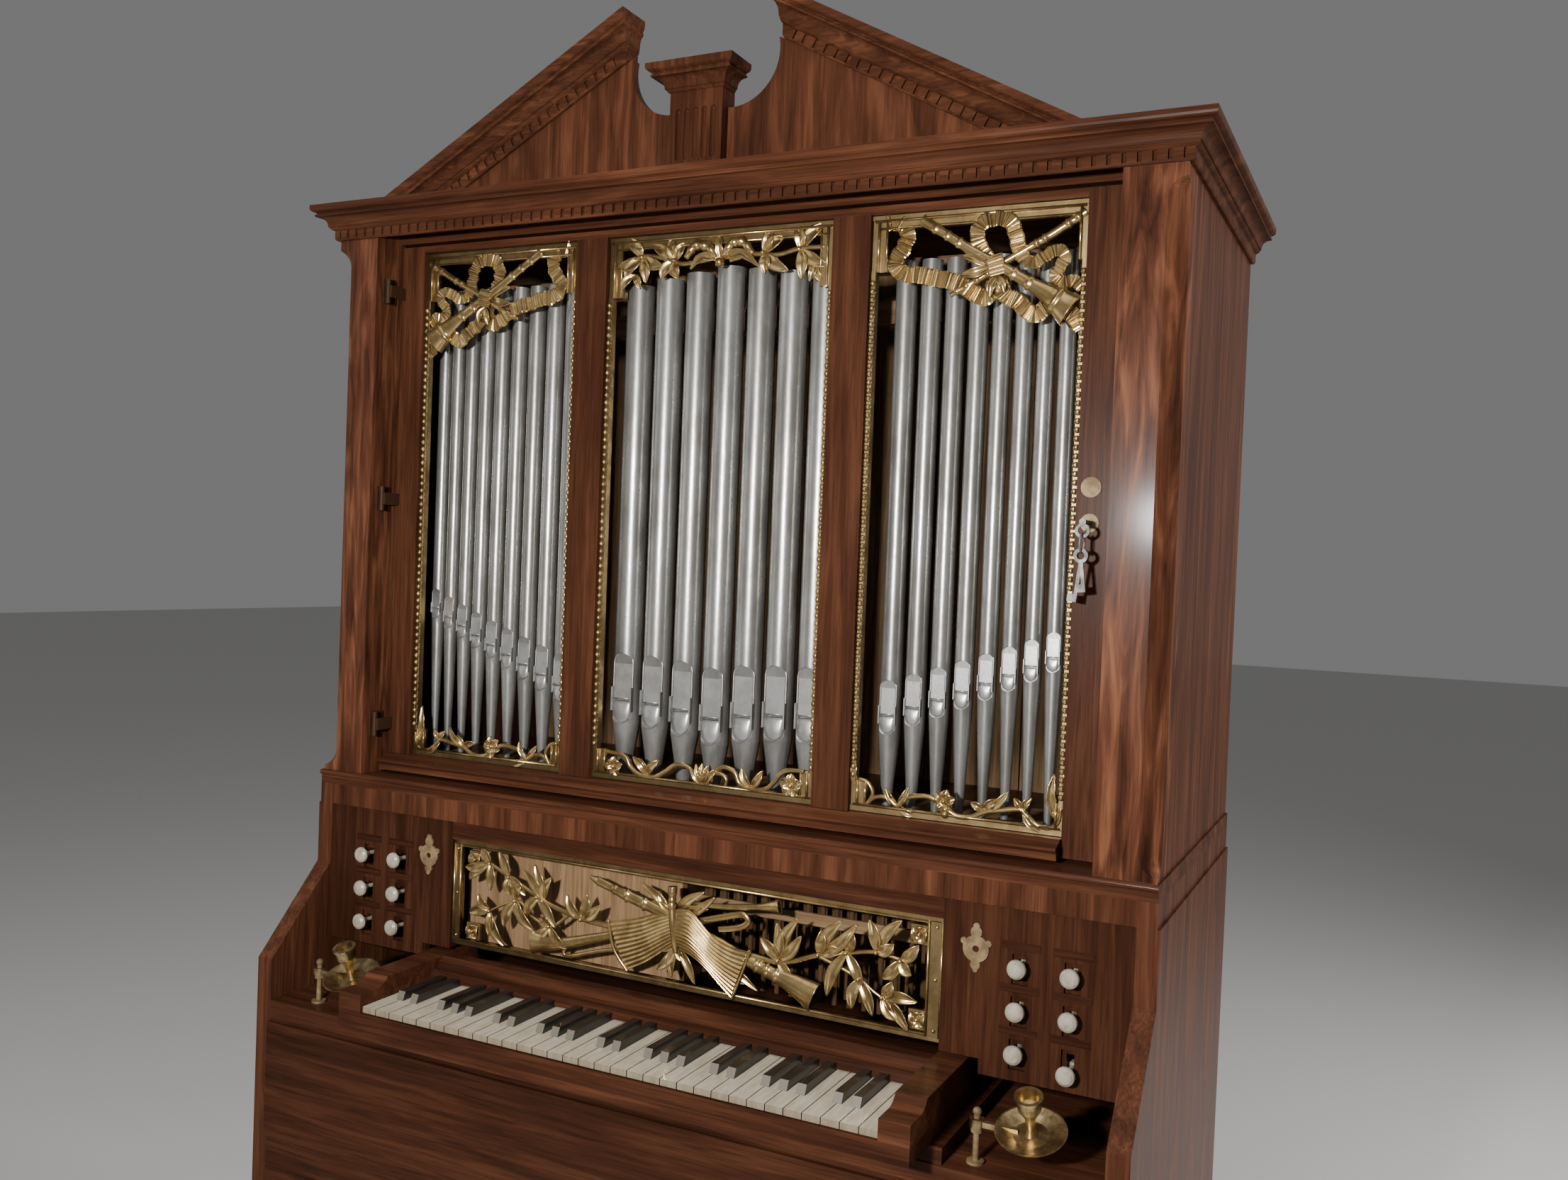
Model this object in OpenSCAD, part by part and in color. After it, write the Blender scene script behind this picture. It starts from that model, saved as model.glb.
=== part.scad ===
// Mahogany bureau organ: pipes behind a three-panelled door, keyboard and stops below.
// Z is up, X runs along the keyboard, the door's front face lies in the plane Y = 0.

/* [Case] */
// Height of the natural key tops above the floor
key_z = 740; // [700:5:780]
// Width of the upper case over its sides
upper_w = 1244; // [1220:2:1270]
// Width of the bureau over its sides
bureau_w = 1256; // [1240:2:1290]
// Depth of the upper case from the front of the posts to the back
upper_d = 525; // [480:5:600]
// How far the door lies behind the front of the posts
door_recess = 48; // [44:1:60]
// How far the bureau front stands before the posts at desk height
desk_out = 112; // [90:2:130]
// Thickness of the side boards
side_t = 26; // [20:1:32]
// Thickness of the back boards
back_t = 12; // [8:1:18]
// Height of the shelf between bureau and upper case above the key tops
shelf_up = 270; // [256:1:290]
// Thickness of the shelf
shelf_t = 20; // [14:1:24]
// Height of the plinth
plinth_h = 90; // [60:5:120]
// How far the plinth stands out at the front and sides
plinth_out = 12; // [6:1:20]

/* [Bureau] */
// Height of the frieze under the shelf
frieze_h = 30; // [22:1:36]
// Thickness of the front boards of the bureau
front_t = 18; // [14:1:24]
// Drop of the desk floor under the key tops
desk_drop = 50; // [48:1:60]
// Thickness of the desk floor
desk_t = 24; // [16:1:28]
// Height of the upper panel of the lower front
front_panel_h = 165; // [120:5:220]
// How far the lower front panel stands before the desk floor
front_panel_out = 6; // [3:1:12]

/* [Stops] */
// Height of the stop jambs
jamb_h = 204; // [196:1:220]
// Distance from the middle to the inner edge of each jamb
jamb_x = 374; // [366:1:384]
// Distance from the middle to the inner column of stops
stop_x = 470; // [460:1:478]
// Distance between the two columns of stops
stop_pitch_x = 62; // [54:1:70]
// Distance between two rows of stops
stop_pitch_z = 50; // [47:1:52]
// Height of the lowest row of stops over the jamb's lower edge
stop_row_z = 36; // [30:1:40]
// Travel of a stop
stop_travel = 12; // [8:1:16]
// Diameter of a stop knob
knob_d = 23; // [16:1:24]

/* [Keyboard] */
// Width of one natural key with its gap
natural_pitch = 23.12; // [22.6:0.01:23.6]
// Number of naturals
naturals_n = 32; // [29:1:32]
// Visible length of a natural
natural_l = 133; // [120:1:140]
// Length of a sharp
sharp_l = 88; // [76:1:92]
// Height of the sharps above the naturals
sharp_up = 11; // [8:1:14]
// How far the keys stand before the bureau front
key_out = 60; // [50:1:64]
// Width of a key cheek
cheek_w = 38; // [30:1:44]
// Depth of the keyboard box behind the key fronts
key_box_d = 300; // [260:5:340]
// Height of the key box under the key tops
key_box_drop = 30; // [28:1:36]

/* [Door] */
// Width of the door
door_w = 1086; // [1060:2:1100]
// Thickness of the door
door_t = 22; // [18:1:26]
// Height of the three fields
field_h = 757; // [700:1:780]
// Width of the middle field
field_mid_w = 345; // [320:1:360]
// Width of a side field
field_side_w = 276; // [250:1:284]
// Width of the two door mullions
mullion_w = 52; // [40:1:60]
// Gap between the door and the case
door_gap = 5; // [4:0.5:7]
// How far the base moulding stands before the door
base_mould_out = 25; // [15:1:26]
// Width of the gilt corner pieces of each field
slip_w = 13; // [10:1:16]
// Height of the lock over the foot of the fields
lock_up = 374; // [320:2:440]
// Thickness of the gilt carving plates
fret_t = 6; // [4:0.5:8]

/* [Pipes] */
// Diameter of the middle pipes
pipe_d = 40; // [34:1:42]
// Distance between two middle pipes
pipe_pitch = 48.4; // [46:0.2:49]
// Diameter of the thickest side pipe
side_pipe_d = 28; // [22:1:29]
// Distance between the two thickest side pipes
side_pipe_pitch = 34; // [31:0.5:35]
// Room between the door and the pipe fronts
pipe_room = 8; // [6:1:20]
// Height of the windchest top over the shelf
chest_h = 18; // [16:1:40]
// Drop of the pipe rail under the top of the fields
rack_drop = 125; // [110:1:150]
// Drop of the longest pipes' tops under the top of the fields
pipe_drop = 43; // [35:1:60]

/* [Cornice] */
// Height of the cornice
cornice_h = 49; // [47:1:60]
// How far the cornice stands out
cornice_out = 33; // [31:1:40]
// Height of the lintel behind the foot of the cornice
lintel_h = 14; // [10:1:20]
// Distance between two dentils
dentil_pitch = 17; // [14:0.5:20]
// Rise of the pediment over the cornice
pediment_h = 215; // [200:1:240]
// Half width of the pediment at its foot
pediment_half = 508; // [490:2:540]
// Distance from the middle to the upper tips of the pediment
peak_x = 107; // [100:1:116]
// How far the returned end of a raking cornice stands out
return_out = 12; // [8:1:18]
// Radius of the round openings beside the pedestal
notch_r = 67; // [60:1:72]
// Distance from the middle to the outer edge of these openings
notch_x = 111; // [108:1:118]
// Height of their centres over the cornice
notch_up = 143; // [130:1:150]
// Width of the pedestal shaft
pedestal_w = 78; // [70:1:90]
// How far the pedestal shaft stands before the pediment
pedestal_out = 16; // [10:1:20]
// Height of the pedestal
pedestal_h = 132; // [122:1:150]

/* [Hidden] */
$fn = 48;

wood = "#5a2a18";
wood_dark = "#43200f";
pine = "#b08a5c";
gilt = "#d9a53a";
tin = "#a9acb0";
bone = "#e9e0cb";
ebony = "#1f1a18";
brass = "#c39a4a";
iron = "#8f8f8c";

// Levels
shelf_z = key_z + shelf_up;
jamb_top = shelf_z - shelf_t - frieze_h;
jamb_z = jamb_top - jamb_h;
desk_z = key_z - desk_drop;
front_top = desk_z - desk_t - front_panel_out;
base_rail_h = 23;
top_rail_h = 10;
field_z = shelf_z + door_gap + base_rail_h;
door_h = base_rail_h + field_h + top_rail_h;
door_z = shelf_z + door_gap;
case_top = door_z + door_h + door_gap;
frame_top = case_top + lintel_h;
roof_z = case_top + cornice_h;

// Planes
y_post = -door_recess;
y_back = upper_d - door_recess;
bureau_proud = 3;
y_frieze = y_post - bureau_proud;
y_desk = y_post - desk_out;
y_keys = y_desk - key_out;
y_jamb = y_post + 4;
jamb_t = 16;
upper_half = upper_w / 2;
bureau_half = bureau_w / 2;
bureau_in = bureau_half - side_t;
side_ledge = 3;
shelf_half = bureau_half - side_ledge;
upper_in = upper_half - side_t;
door_half = door_w / 2;
post_in = door_half + door_gap + 1.5;
field_side_x = field_mid_w / 2 + mullion_w;

// A board from corner to corner
module board(x0, x1, y0, y1, z0, z1) {
    translate([x0, y0, z0]) cube([x1 - x0, y1 - y0, z1 - z0]);
}

// A profile drawn in Y and Z, extruded along X from x0 to x1
module along_x(x0, x1) {
    translate([x0, 0, 0]) rotate([90, 0, 90]) linear_extrude(x1 - x0) children();
}

// A flat piece drawn in X and Z whose front face lies at y0
module plate(y0, t) {
    translate([0, y0 + t, 0]) rotate([90, 0, 0]) linear_extrude(t) children();
}

// The same piece on both sides of the middle plane
module both_sides() {
    children();
    mirror([1, 0, 0]) children();
}

// Lower case
module plinth() {
    color(wood_dark) difference() {
        board(-bureau_half - plinth_out, bureau_half + plinth_out,
            y_desk - plinth_out, y_back, 0, plinth_h);
        board(-bureau_half, bureau_half, y_desk, y_back + 1, -1, plinth_h + 1);
    }
}

module bottom_board() {
    color(pine) board(-bureau_in, bureau_in, y_desk + front_t, y_back - back_t, 0, 18);
}

// Outline of a bureau side in Y and Z: upright beside the stops, then a slope to the desk
slope_drop = 90;
slope_foot = 58;
module bureau_side_outline() {
    polygon([[y_frieze, jamb_top], [y_frieze, jamb_top - slope_drop],
        [y_desk, desk_z + slope_foot], [y_desk, 0], [y_back, 0], [y_back, jamb_top]]);
}

// The side ends in a small ledge level with the frieze's foot, and goes on under the shelf
module bureau_side() {
    color(wood) {
        along_x(bureau_in, bureau_half) bureau_side_outline();
        board(bureau_in, shelf_half, y_frieze, y_back, jamb_top, shelf_z - shelf_t);
    }
}
module bureau_side_left() mirror([1, 0, 0]) bureau_side();
module bureau_side_right() bureau_side();

module bureau_back() {
    color(pine) board(-bureau_in, bureau_in, y_back - back_t, y_back, 0, shelf_z - shelf_t);
}

module lower_front() {
    color(wood) board(-bureau_in, bureau_in, y_desk, y_desk + front_t, 0,
        desk_z - desk_t);
}

module lower_front_panel() {
    color(wood) board(-bureau_in, bureau_in, y_desk - front_panel_out, y_desk,
        front_top - front_panel_h, front_top);
}

module desk_floor() {
    color(wood) board(-bureau_in, bureau_in, y_desk, y_back - back_t, desk_z - desk_t, desk_z);
}

// Raised bed that the keyboard box slides on
bed_half = naturals_n * natural_pitch / 2 + cheek_w + 14;
slide_gap = 0.3;
module key_bed() {
    color(pine) board(-bed_half, bed_half, y_desk + 2, y_desk + key_box_d + 10, desk_z,
        key_z - key_box_drop - slide_gap);
}

module bureau_frieze() {
    color(wood) board(-bureau_in, bureau_in, y_frieze, y_frieze + front_t, jamb_top,
        shelf_z - shelf_t);
}

// Shelf with a bead along its upper front edge
bead_r = 4;
module shelf() {
    color(wood) {
        board(-shelf_half, shelf_half, y_frieze, y_back, shelf_z - shelf_t, shelf_z);
        translate([-shelf_half, y_frieze, shelf_z - bead_r]) rotate([0, 90, 0])
            cylinder(r = bead_r, h = 2 * shelf_half);
    }
}

// Stop jambs
slot_w = 9;
slot_h = stop_travel + 14;
pocket_w = knob_d - 3;
pocket_h = stop_travel + 24;
pocket_deep = 5;
function stop_pos(i) = [stop_x + stop_pitch_x * (i % 2), jamb_z + stop_row_z
    + stop_pitch_z * (2 - floor(i / 2))];

module stop_jamb() {
    color(wood_dark) difference() {
        board(jamb_x, bureau_in, y_jamb, y_jamb + jamb_t, jamb_z, jamb_top);
        board(jamb_x - 1, bed_half + 2, y_jamb - 1, y_jamb + jamb_t + 1, jamb_z - 1,
            key_z + box_top + 6);
        for (i = [0:5]) translate([stop_pos(i)[0], y_jamb, stop_pos(i)[1]]) {
            translate([-slot_w / 2, -1, -stop_travel - 7])
                cube([slot_w, jamb_t + 2, slot_h]);
            translate([-pocket_w / 2, -1, -stop_travel - 11])
                cube([pocket_w, pocket_deep + 1, pocket_h]);
        }
    }
}
module stop_jamb_left() mirror([1, 0, 0]) stop_jamb();
module stop_jamb_right() stop_jamb();

// One stop: turned knob, stem through the slot and slider block behind the jamb
module stop(i, side, drawn = false) {
    p = stop_pos(i);
    translate([side * p[0], y_jamb, p[1] - (drawn ? stop_travel : 0)]) {
        color(bone) translate([0, -6, 0]) rotate([90, 0, 0]) rotate_extrude()
            polygon([[0, 0], [5, 0], [4.5, 5], [knob_d / 2 - 2, 7], [knob_d / 2, 10],
                [knob_d / 2 - 0.8, 13], [knob_d / 2 - 4, 15.5], [0, 16.5]]);
        color(wood) translate([0, jamb_t + 4, 0]) rotate([90, 0, 0])
            cylinder(d = 6, h = jamb_t + 10);
        color(pine) translate([-8, jamb_t + 0.5, -6]) cube([16, 10, 12]);
    }
}
module stop_left_1() stop(0, -1);
module stop_left_2() stop(1, -1);
module stop_left_3() stop(2, -1);
module stop_left_4() stop(3, -1);
module stop_left_5() stop(4, -1);
module stop_left_6() stop(5, -1);
module stop_right_1() stop(0, 1);
module stop_right_2() stop(1, 1);
module stop_right_3() stop(2, 1);
module stop_right_4() stop(3, 1);
module stop_right_5() stop(4, 1);
module stop_right_6() stop(5, 1, drawn = true);

// Gilt panel over the keys
desk_fret_h = 153;
desk_fret_frame = 20;
module desk_top_rail() {
    color(wood_dark) board(-jamb_x, jamb_x, y_jamb, y_jamb + jamb_t, jamb_top - rail_h,
        jamb_top);
}
rail_h = 27;
desk_fret_z = jamb_top - rail_h - desk_fret_h;

// A leaf of width w from its base a to its tip b, two arcs
module leaf(a, b, w) {
    d = b - a;
    l = norm(d);
    r = (l * l / 4 + w * w / 4) / w;
    translate(a) rotate(atan2(d[1], d[0])) intersection() {
        translate([l / 2, r - w / 2]) circle(r);
        translate([l / 2, w / 2 - r]) circle(r);
    }
}

// A flat bar of width w between two points, with slightly swollen round ends
bar_swell = 1.1;
module bar(a, b, w) {
    d = b - a;
    translate(a) rotate(atan2(d[1], d[0])) translate([0, -w / 2]) square([norm(d), w]);
    for (end = [a, b]) translate(end) circle(w / 2 * bar_swell);
}

// A stem, ribbon or tube of width w through points
module stem(points, w) {
    for (i = [0:len(points) - 2]) bar(points[i], points[i + 1], w);
}

// Leaves of width w from one base to several tips
module spray(base, tips, w) {
    translate(base) circle(w / 2);
    for (tip = tips) leaf(base, tip, w);
}

// Gilt panel: crossed shawm and trumpet on a cloth, between laurel branches
module desk_fret_outline() {
    full = 2 * jamb_x;
    difference() {
        square([full, desk_fret_h]);
        translate([desk_fret_frame, 10]) square([full - 2 * desk_fret_frame, desk_fret_h - 22]);
    }
    intersection() {
        square([full, desk_fret_h]);
        union() {
            stem([[272, 68], [203, 76], [168, 84], [109, 108], [40, 136]], 7);
            spray([225, 74], [[232, 104], [206, 100], [252, 90]], 12);
            spray([160, 88], [[150, 128], [172, 112], [136, 122]], 12);
            spray([112, 107], [[88, 136], [136, 100], [100, 84]], 12);
            spray([62, 128], [[36, 104], [66, 96], [54, 140]], 12);
            stem([[272, 62], [174, 50], [115, 78], [59, 56]], 7);
            spray([62, 58], [[30, 58], [64, 30], [84, 24]], 12);
            spray([118, 76], [[104, 48], [138, 54]], 12);
            spray([174, 50], [[172, 74], [205, 60], [150, 34]], 12);
            stem([[480, 64], [535, 66], [583, 82], [662, 97], [704, 84]], 7);
            spray([530, 66], [[526, 100], [552, 98], [545, 44]], 12);
            spray([590, 83], [[587, 108], [610, 118], [628, 108]], 12);
            spray([640, 92], [[611, 70], [654, 122], [664, 66]], 12);
            spray([690, 90], [[690, 128], [716, 110], [676, 70]], 12);
            stem([[580, 84], [621, 66], [664, 46], [700, 30]], 7);
            spray([625, 64], [[603, 40], [640, 40]], 12);
            spray([672, 42], [[656, 22], [688, 62], [712, 46]], 12);
            polygon([[272, 76], [316, 90], [374, 108], [402, 110], [434, 86], [487, 72],
                [466, 16], [424, 40], [376, 58], [306, 22], [283, 40]]);
            stem([[376, 138], [376, 60]], 14);
            stem([[238, 130], [349, 101], [500, 53], [566, 32]], 11);
            stem([[560, 34], [584, 26]], 22);
            stem([[147, 26], [191, 26], [469, 114], [525, 132]], 8);
            stem([[191, 40], [455, 124], [469, 106]], 6);
            stem([[138, 24], [158, 26]], 24);
            spray([350, 104], [[321, 134], [338, 128]], 12);
            spray([404, 104], [[417, 136], [434, 130]], 12);
            spray([386, 58], [[349, 22], [392, 22], [408, 18]], 14);
        }
    }
}
module desk_fret() {
    color(gilt) plate(y_jamb + 4, 8) translate([-jamb_x, desk_fret_z]) desk_fret_outline();
}

// Action seen through the gilt panel: two boards, a rail and the upright rods
action_rod_n = 16;
module action() {
    top = shelf_z - shelf_t;
    y_near = y_jamb + 40;
    y_far = y_near + 50;
    color(pine) {
        board(-jamb_x, -10, y_near, y_near + 6, desk_fret_z, top);
        board(-10, jamb_x, y_far, y_far + 6, desk_fret_z, top);
        board(-10, -4, y_near, y_far, desk_fret_z, top);
        for (i = [0:action_rod_n - 1])
            translate([20 + i * (jamb_x - 40) / action_rod_n, y_near + 25, desk_fret_z])
                cylinder(d = 7, h = top - desk_fret_z);
        board(-4, jamb_x, y_near + 28, y_near + 36, jamb_top - 40, jamb_top - 20);
    }
}

// Pierced plates beside the gilt panel
escutcheon_x = 416;
escutcheon_z = jamb_top - 56;
module desk_escutcheons() {
    both_sides() plate(y_jamb - 2.5, 2.5) translate([escutcheon_x, escutcheon_z]) {
        difference() {
            circle(16);
            circle(4);
        }
        translate([0, 20]) circle(7);
        translate([0, 27]) circle(4);
        translate([0, -19]) circle(6);
        translate([0, -25]) circle(3);
        for (s = [-1, 1]) translate([15 * s, 8]) circle(4);
    }
}

// Candle arms turning on pins beside the keyboard
candle_y = y_post - 82;
candle_pin_x = 452;
candle_reach = 62;
candle_pin_h = 58;
eye_h = 9;
eye_z = desk_z + candle_pin_h - 8 - eye_h;
candle_pin_left_x = -538;
module candle_pins() {
    for (x = [candle_pin_x, candle_pin_left_x]) translate([x, candle_y, 0]) {
        translate([0, 0, desk_z]) cylinder(d = 20, h = 3);
        translate([0, 0, desk_z]) cylinder(d = 7, h = candle_pin_h);
        translate([0, 0, eye_z - 6]) cylinder(d = 13, h = 6);
        translate([0, 0, desk_z + candle_pin_h]) sphere(d = 10);
    }
}

// Fixed halves of the door's hinges: leaf on the post, pin and two knuckles
module post_hinges() {
    half_h = knuckle_h / 2;
    for (z = hinge_levels) {
        translate([hinge_x, hinge_y, z - half_h]) cylinder(d = hinge_pin_d, h = 2 * knuckle_h);
        board(-post_in, -post_in + hinge_leaf, hinge_y - 4, hinge_y + 22, z - half_h,
            z + knuckle_h + half_h);
        for (k = [z - half_h, z + knuckle_h + slide_gap]) {
            translate([hinge_x, hinge_y, k]) cylinder(d = knuckle_d, h = half_h - slide_gap);
            board(-post_in + 1, hinge_x, hinge_y - 1, hinge_y + 1, k, k + half_h - slide_gap);
        }
    }
}
module case_brasses() {
    color(brass) {
        desk_escutcheons();
        candle_pins();
        post_hinges();
    }
}

// Arm with its eye at the origin, tray and cup at the end of the arm
module candle_arm() {
    color(brass) {
        difference() {
            cylinder(d = 17, h = eye_h);
            translate([0, 0, -1]) cylinder(d = 7.1, h = eye_h + 2);
        }
        difference() {
            translate([6, -4, 1]) cube([candle_reach - 20, 8, 6]);
            translate([0, 0, -1]) cylinder(d = 15, h = eye_h + 2);
        }
        translate([candle_reach, 0, 5]) rotate([candle_tilt, 0, 0]) rotate_extrude()
            polygon([[0, -4], [20, -4], [38, 2], [40, 5], [38, 5], [20, -1], [8, 0],
                [5, 8], [6, 22], [13, 34], [14, 46], [16, 48], [16, 51], [12, 51],
                [10, 38], [0, 36]]);
    }
}
candle_tilt = 20;
module candle_arm_right() {
    translate([candle_pin_x, candle_y, eye_z + slide_gap]) candle_arm();
}
module candle_arm_left() {
    translate([candle_pin_left_x, candle_y, eye_z + slide_gap]) candle_arm();
}

// Keyboard box
keys_half = naturals_n * natural_pitch / 2;
box_half = keys_half + cheek_w;
box_top = 28;
y_nameboard = y_keys + natural_l;
key_t = 8;
module key_frame() {
    color(wood) {
        board(-box_half, box_half, y_keys + 4, y_keys + key_box_d, key_z - key_box_drop,
            key_z - key_box_drop + 12);
        board(-box_half, box_half, y_keys - 4, y_keys + 10, key_z - key_box_drop,
            key_z - key_t - 1);
        board(-keys_half, keys_half, y_keys + 60, y_keys + 90, key_z - key_box_drop + 12,
            key_z - key_t);
        both_sides() board(keys_half + 0.5, box_half, y_keys + 10, y_keys + key_box_d - 64,
            key_z - key_box_drop + 12, key_z - key_t - 1);
    }
}

// Outline of a cheek in Y and Z: low front block, hollow rise, level top
module cheek_outline() {
    rise = 24;
    difference() {
        translate([y_keys - 4, key_z - key_t - 1])
            square([key_box_d - 60, key_t + 1 + box_top]);
        translate([y_keys - 5, key_z + 16]) square([31, box_top]);
        translate([y_keys + 26, key_z + 16 + rise]) circle(rise);
    }
}
module key_cheeks() {
    color(wood) both_sides() along_x(keys_half + 0.5, box_half) cheek_outline();
}

// Moulded board behind the keys
module nameboard() {
    color(wood) along_x(-keys_half - 0.5, keys_half + 0.5)
        difference() {
            polygon([[y_nameboard, key_z + 2], [y_nameboard + 4, key_z + 12],
                [y_nameboard + 26, key_z + box_top], [y_nameboard + 44, key_z + box_top],
                [y_nameboard + 44, key_z - key_box_drop + 12],
                [y_nameboard + 30, key_z - key_box_drop + 12],
                [y_nameboard + 30, key_z + 2]]);
            translate([y_nameboard + 8, key_z + 26]) circle(12);
        }
}

// Naturals are cut round the sharps, as octaves from C
sharp_after = [true, true, false, true, true, true, false];
sharp_w = 11;
key_gap = 0.6;
function has_sharp(i) = i < naturals_n - 1 && sharp_after[i % 7];
module naturals() {
    color(bone) difference() {
        for (i = [0:naturals_n - 1])
            board(-keys_half + i * natural_pitch + key_gap / 2,
                -keys_half + (i + 1) * natural_pitch - key_gap / 2,
                y_keys, y_keys + natural_l + 20, key_z - key_t, key_z);
        for (i = [0:naturals_n - 2]) if (has_sharp(i))
            board(-keys_half + (i + 1) * natural_pitch - sharp_w / 2 - key_gap,
                -keys_half + (i + 1) * natural_pitch + sharp_w / 2 + key_gap,
                y_keys + natural_l - sharp_l - key_gap, y_keys + natural_l + 21,
                key_z - key_t - 1, key_z + 1);
    }
}

// Outline of a sharp in Y and Z with its sloped front
module sharp_outline() {
    y0 = y_keys + natural_l - sharp_l;
    polygon([[y0, key_z - key_t], [y0, key_z], [y0 + 5, key_z + sharp_up],
        [y0 + sharp_l - 1, key_z + sharp_up - 1], [y0 + sharp_l - 1, key_z + 1],
        [y0 + sharp_l + 20, key_z + 1], [y0 + sharp_l + 20, key_z - key_t]]);
}
module sharps() {
    color(ebony) for (i = [0:naturals_n - 2]) if (has_sharp(i)) {
        x = -keys_half + (i + 1) * natural_pitch;
        along_x(x - sharp_w / 2, x + sharp_w / 2) sharp_outline();
    }
}

// Upper case
module upper_side() {
    color(wood) board(upper_in, upper_half, y_post + post_d, y_back, shelf_z, frame_top);
}
post_d = 60;
module upper_side_left() mirror([1, 0, 0]) upper_side();
module upper_side_right() upper_side();
module upper_back() {
    color(pine) board(-upper_in, upper_in, y_back - back_t, y_back, shelf_z, frame_top);
}
roof_t = 14;
module upper_roof() {
    color(pine) board(-upper_half + cornice_in, upper_half - cornice_in,
        door_t + 6, y_back, frame_top, frame_top + roof_t);
}

// Chamfer of a post's outer corner from z0 to z1, ending in hollow stops
chamfer = 22;
chamfer_stop_r = 20;
module post_chamfer(z0, z1) {
    deep = chamfer / sqrt(2);
    reach = 40;
    translate([upper_half, y_post, 0]) rotate([0, 0, -45]) {
        translate([-deep, -reach, z0]) cube([2 * deep, 2 * reach, z1 - z0]);
        for (z = [z0, z1]) translate([chamfer_stop_r - deep, reach, z]) rotate([90, 0, 0])
            cylinder(r = chamfer_stop_r, h = 2 * reach);
    }
}

// Posts beside the door
module corner_posts() {
    color(wood) both_sides() difference() {
        board(post_in, upper_half, y_post, y_post + post_d, shelf_z, frame_top);
        post_chamfer(shelf_z + 26, case_top - 34);
    }
}

// Windchest and pipes
pipe_y = door_t + pipe_room + pipe_d / 2;
chest_top = shelf_z + chest_h;
module windchest() {
    color(pine) board(-post_in, post_in, door_t + 14, pipe_y + 180, shelf_z, chest_top);
}
rack_z = field_z + field_h - rack_drop;
rack_h = 30;
top_rail_z = field_z + field_h - 45;
pipe_top = field_z + field_h - pipe_drop;
module pipe_rack() {
    y_front = pipe_y + pipe_d / 2 + 0.5;
    y_rear = y_front + 14.5;
    color(pine) {
        board(-upper_in, upper_in, y_front, y_rear, rack_z, rack_z + rack_h);
        both_sides() board(upper_in - 30, upper_in, y_rear, y_back - back_t,
            rack_z, rack_z + rack_h);
        board(-upper_in, upper_in, y_rear + 30, y_rear + 45, top_rail_z, top_rail_z + 15);
    }
}

// Outline of a flattened mouth: straight sides, round lower lip and arched upper lip
module mouth_outline(w, h) {
    r = 0.56 * w;
    intersection() {
        translate([-w / 2, 0]) square([w, h]);
        union() {
            translate([0, r]) circle(r);
            translate([0, h - r]) circle(r);
            translate([-w, r]) square([2 * w, h - 2 * r]);
        }
    }
}

// One pipe: conical foot, body and flattened mouth with the wind slit across it. The mouth
// starts a little below the seam between foot and body
mouth_lap = 2;
module pipe(d, mouth_z, mouth_h, top_z) {
    r = d / 2;
    flat = 0.2 * d;
    mouth_w = 0.78 * d;
    slit_w = 0.7 * d;
    slit_z = mouth_z + 0.31 * mouth_h;
    difference() {
        rotate_extrude() polygon([[0, chest_top], [r * 0.36, chest_top],
            [r, mouth_z], [r, top_z], [0, top_z]]);
        translate([0, -r + flat, 0]) rotate([90, 0, 0]) linear_extrude(flat + 1)
            translate([0, mouth_z - mouth_lap]) mouth_outline(mouth_w, mouth_h + mouth_lap);
        translate([-slit_w / 2, -r - 1, slit_z])
            cube([slit_w, flat + 1 + d * 0.2, 0.1 * d]);
    }
}

middle_n = 7;
module pipes_middle() {
    color(tin) for (i = [0:middle_n - 1]) {
        k = abs(i - (middle_n - 1) / 2);
        translate([(i - (middle_n - 1) / 2) * pipe_pitch, pipe_y, 0])
            pipe(pipe_d, chest_top + 70 + 9.6 * k - 1.35 * k * k, 106 - 2 * k,
                pipe_top - 6 * k);
    }
}

side_n = 9;
side_shrink = 0.036;
function side_pitch(i) = side_pipe_pitch * (1 - side_shrink * i);
function side_x(i) = i == 0 ? field_side_x + 33 : side_x(i - 1) + side_pitch(i - 1);
module side_pipes() {
    for (i = [0:side_n - 1]) {
        d = side_pipe_d * (1 - side_shrink * i);
        translate([side_x(i), pipe_y, 0])
            pipe(d, chest_top + 109 + 13.6 * i, 69 - 3 * i, pipe_top - 8);
    }
}
module pipes_left() color(tin) mirror([1, 0, 0]) side_pipes();
module pipes_right() color(tin) side_pipes();

// Lintel over the door, with the soffit behind the cornice
module top_frieze() {
    edge = upper_half - cornice_in;
    color(wood) {
        board(-post_in, post_in, 0, door_t, case_top, frame_top);
        board(-edge, edge, y_post + cornice_in, door_t + 6, frame_top, frame_top + roof_t);
    }
}

// Face of the cornice: distance out and height, from the foot up
cornice_in = 20;
band = [2.5, 14];
band_out = 6.5;
cove_r = 11;
function cornice_face() = concat(
    [[0, 0], [band_out - 2, 0], [band_out, band[0]], [band_out, band[1]], [10, 15.5],
        [12, 17.5], [12, 19.3], [13.8, 19.3], [13.8, 21.5]],
    [for (a = [180:-15:90]) [25 + cove_r * cos(a), 21.5 + cove_r * sin(a)]],
    [[27.5, 32.5], [27.5, 35.5], [25, 36.5], [26, 38], [cornice_out - 3, 39.5],
        [cornice_out - 0.8, 41], [cornice_out, 43.5], [cornice_out, cornice_h]]);

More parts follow.
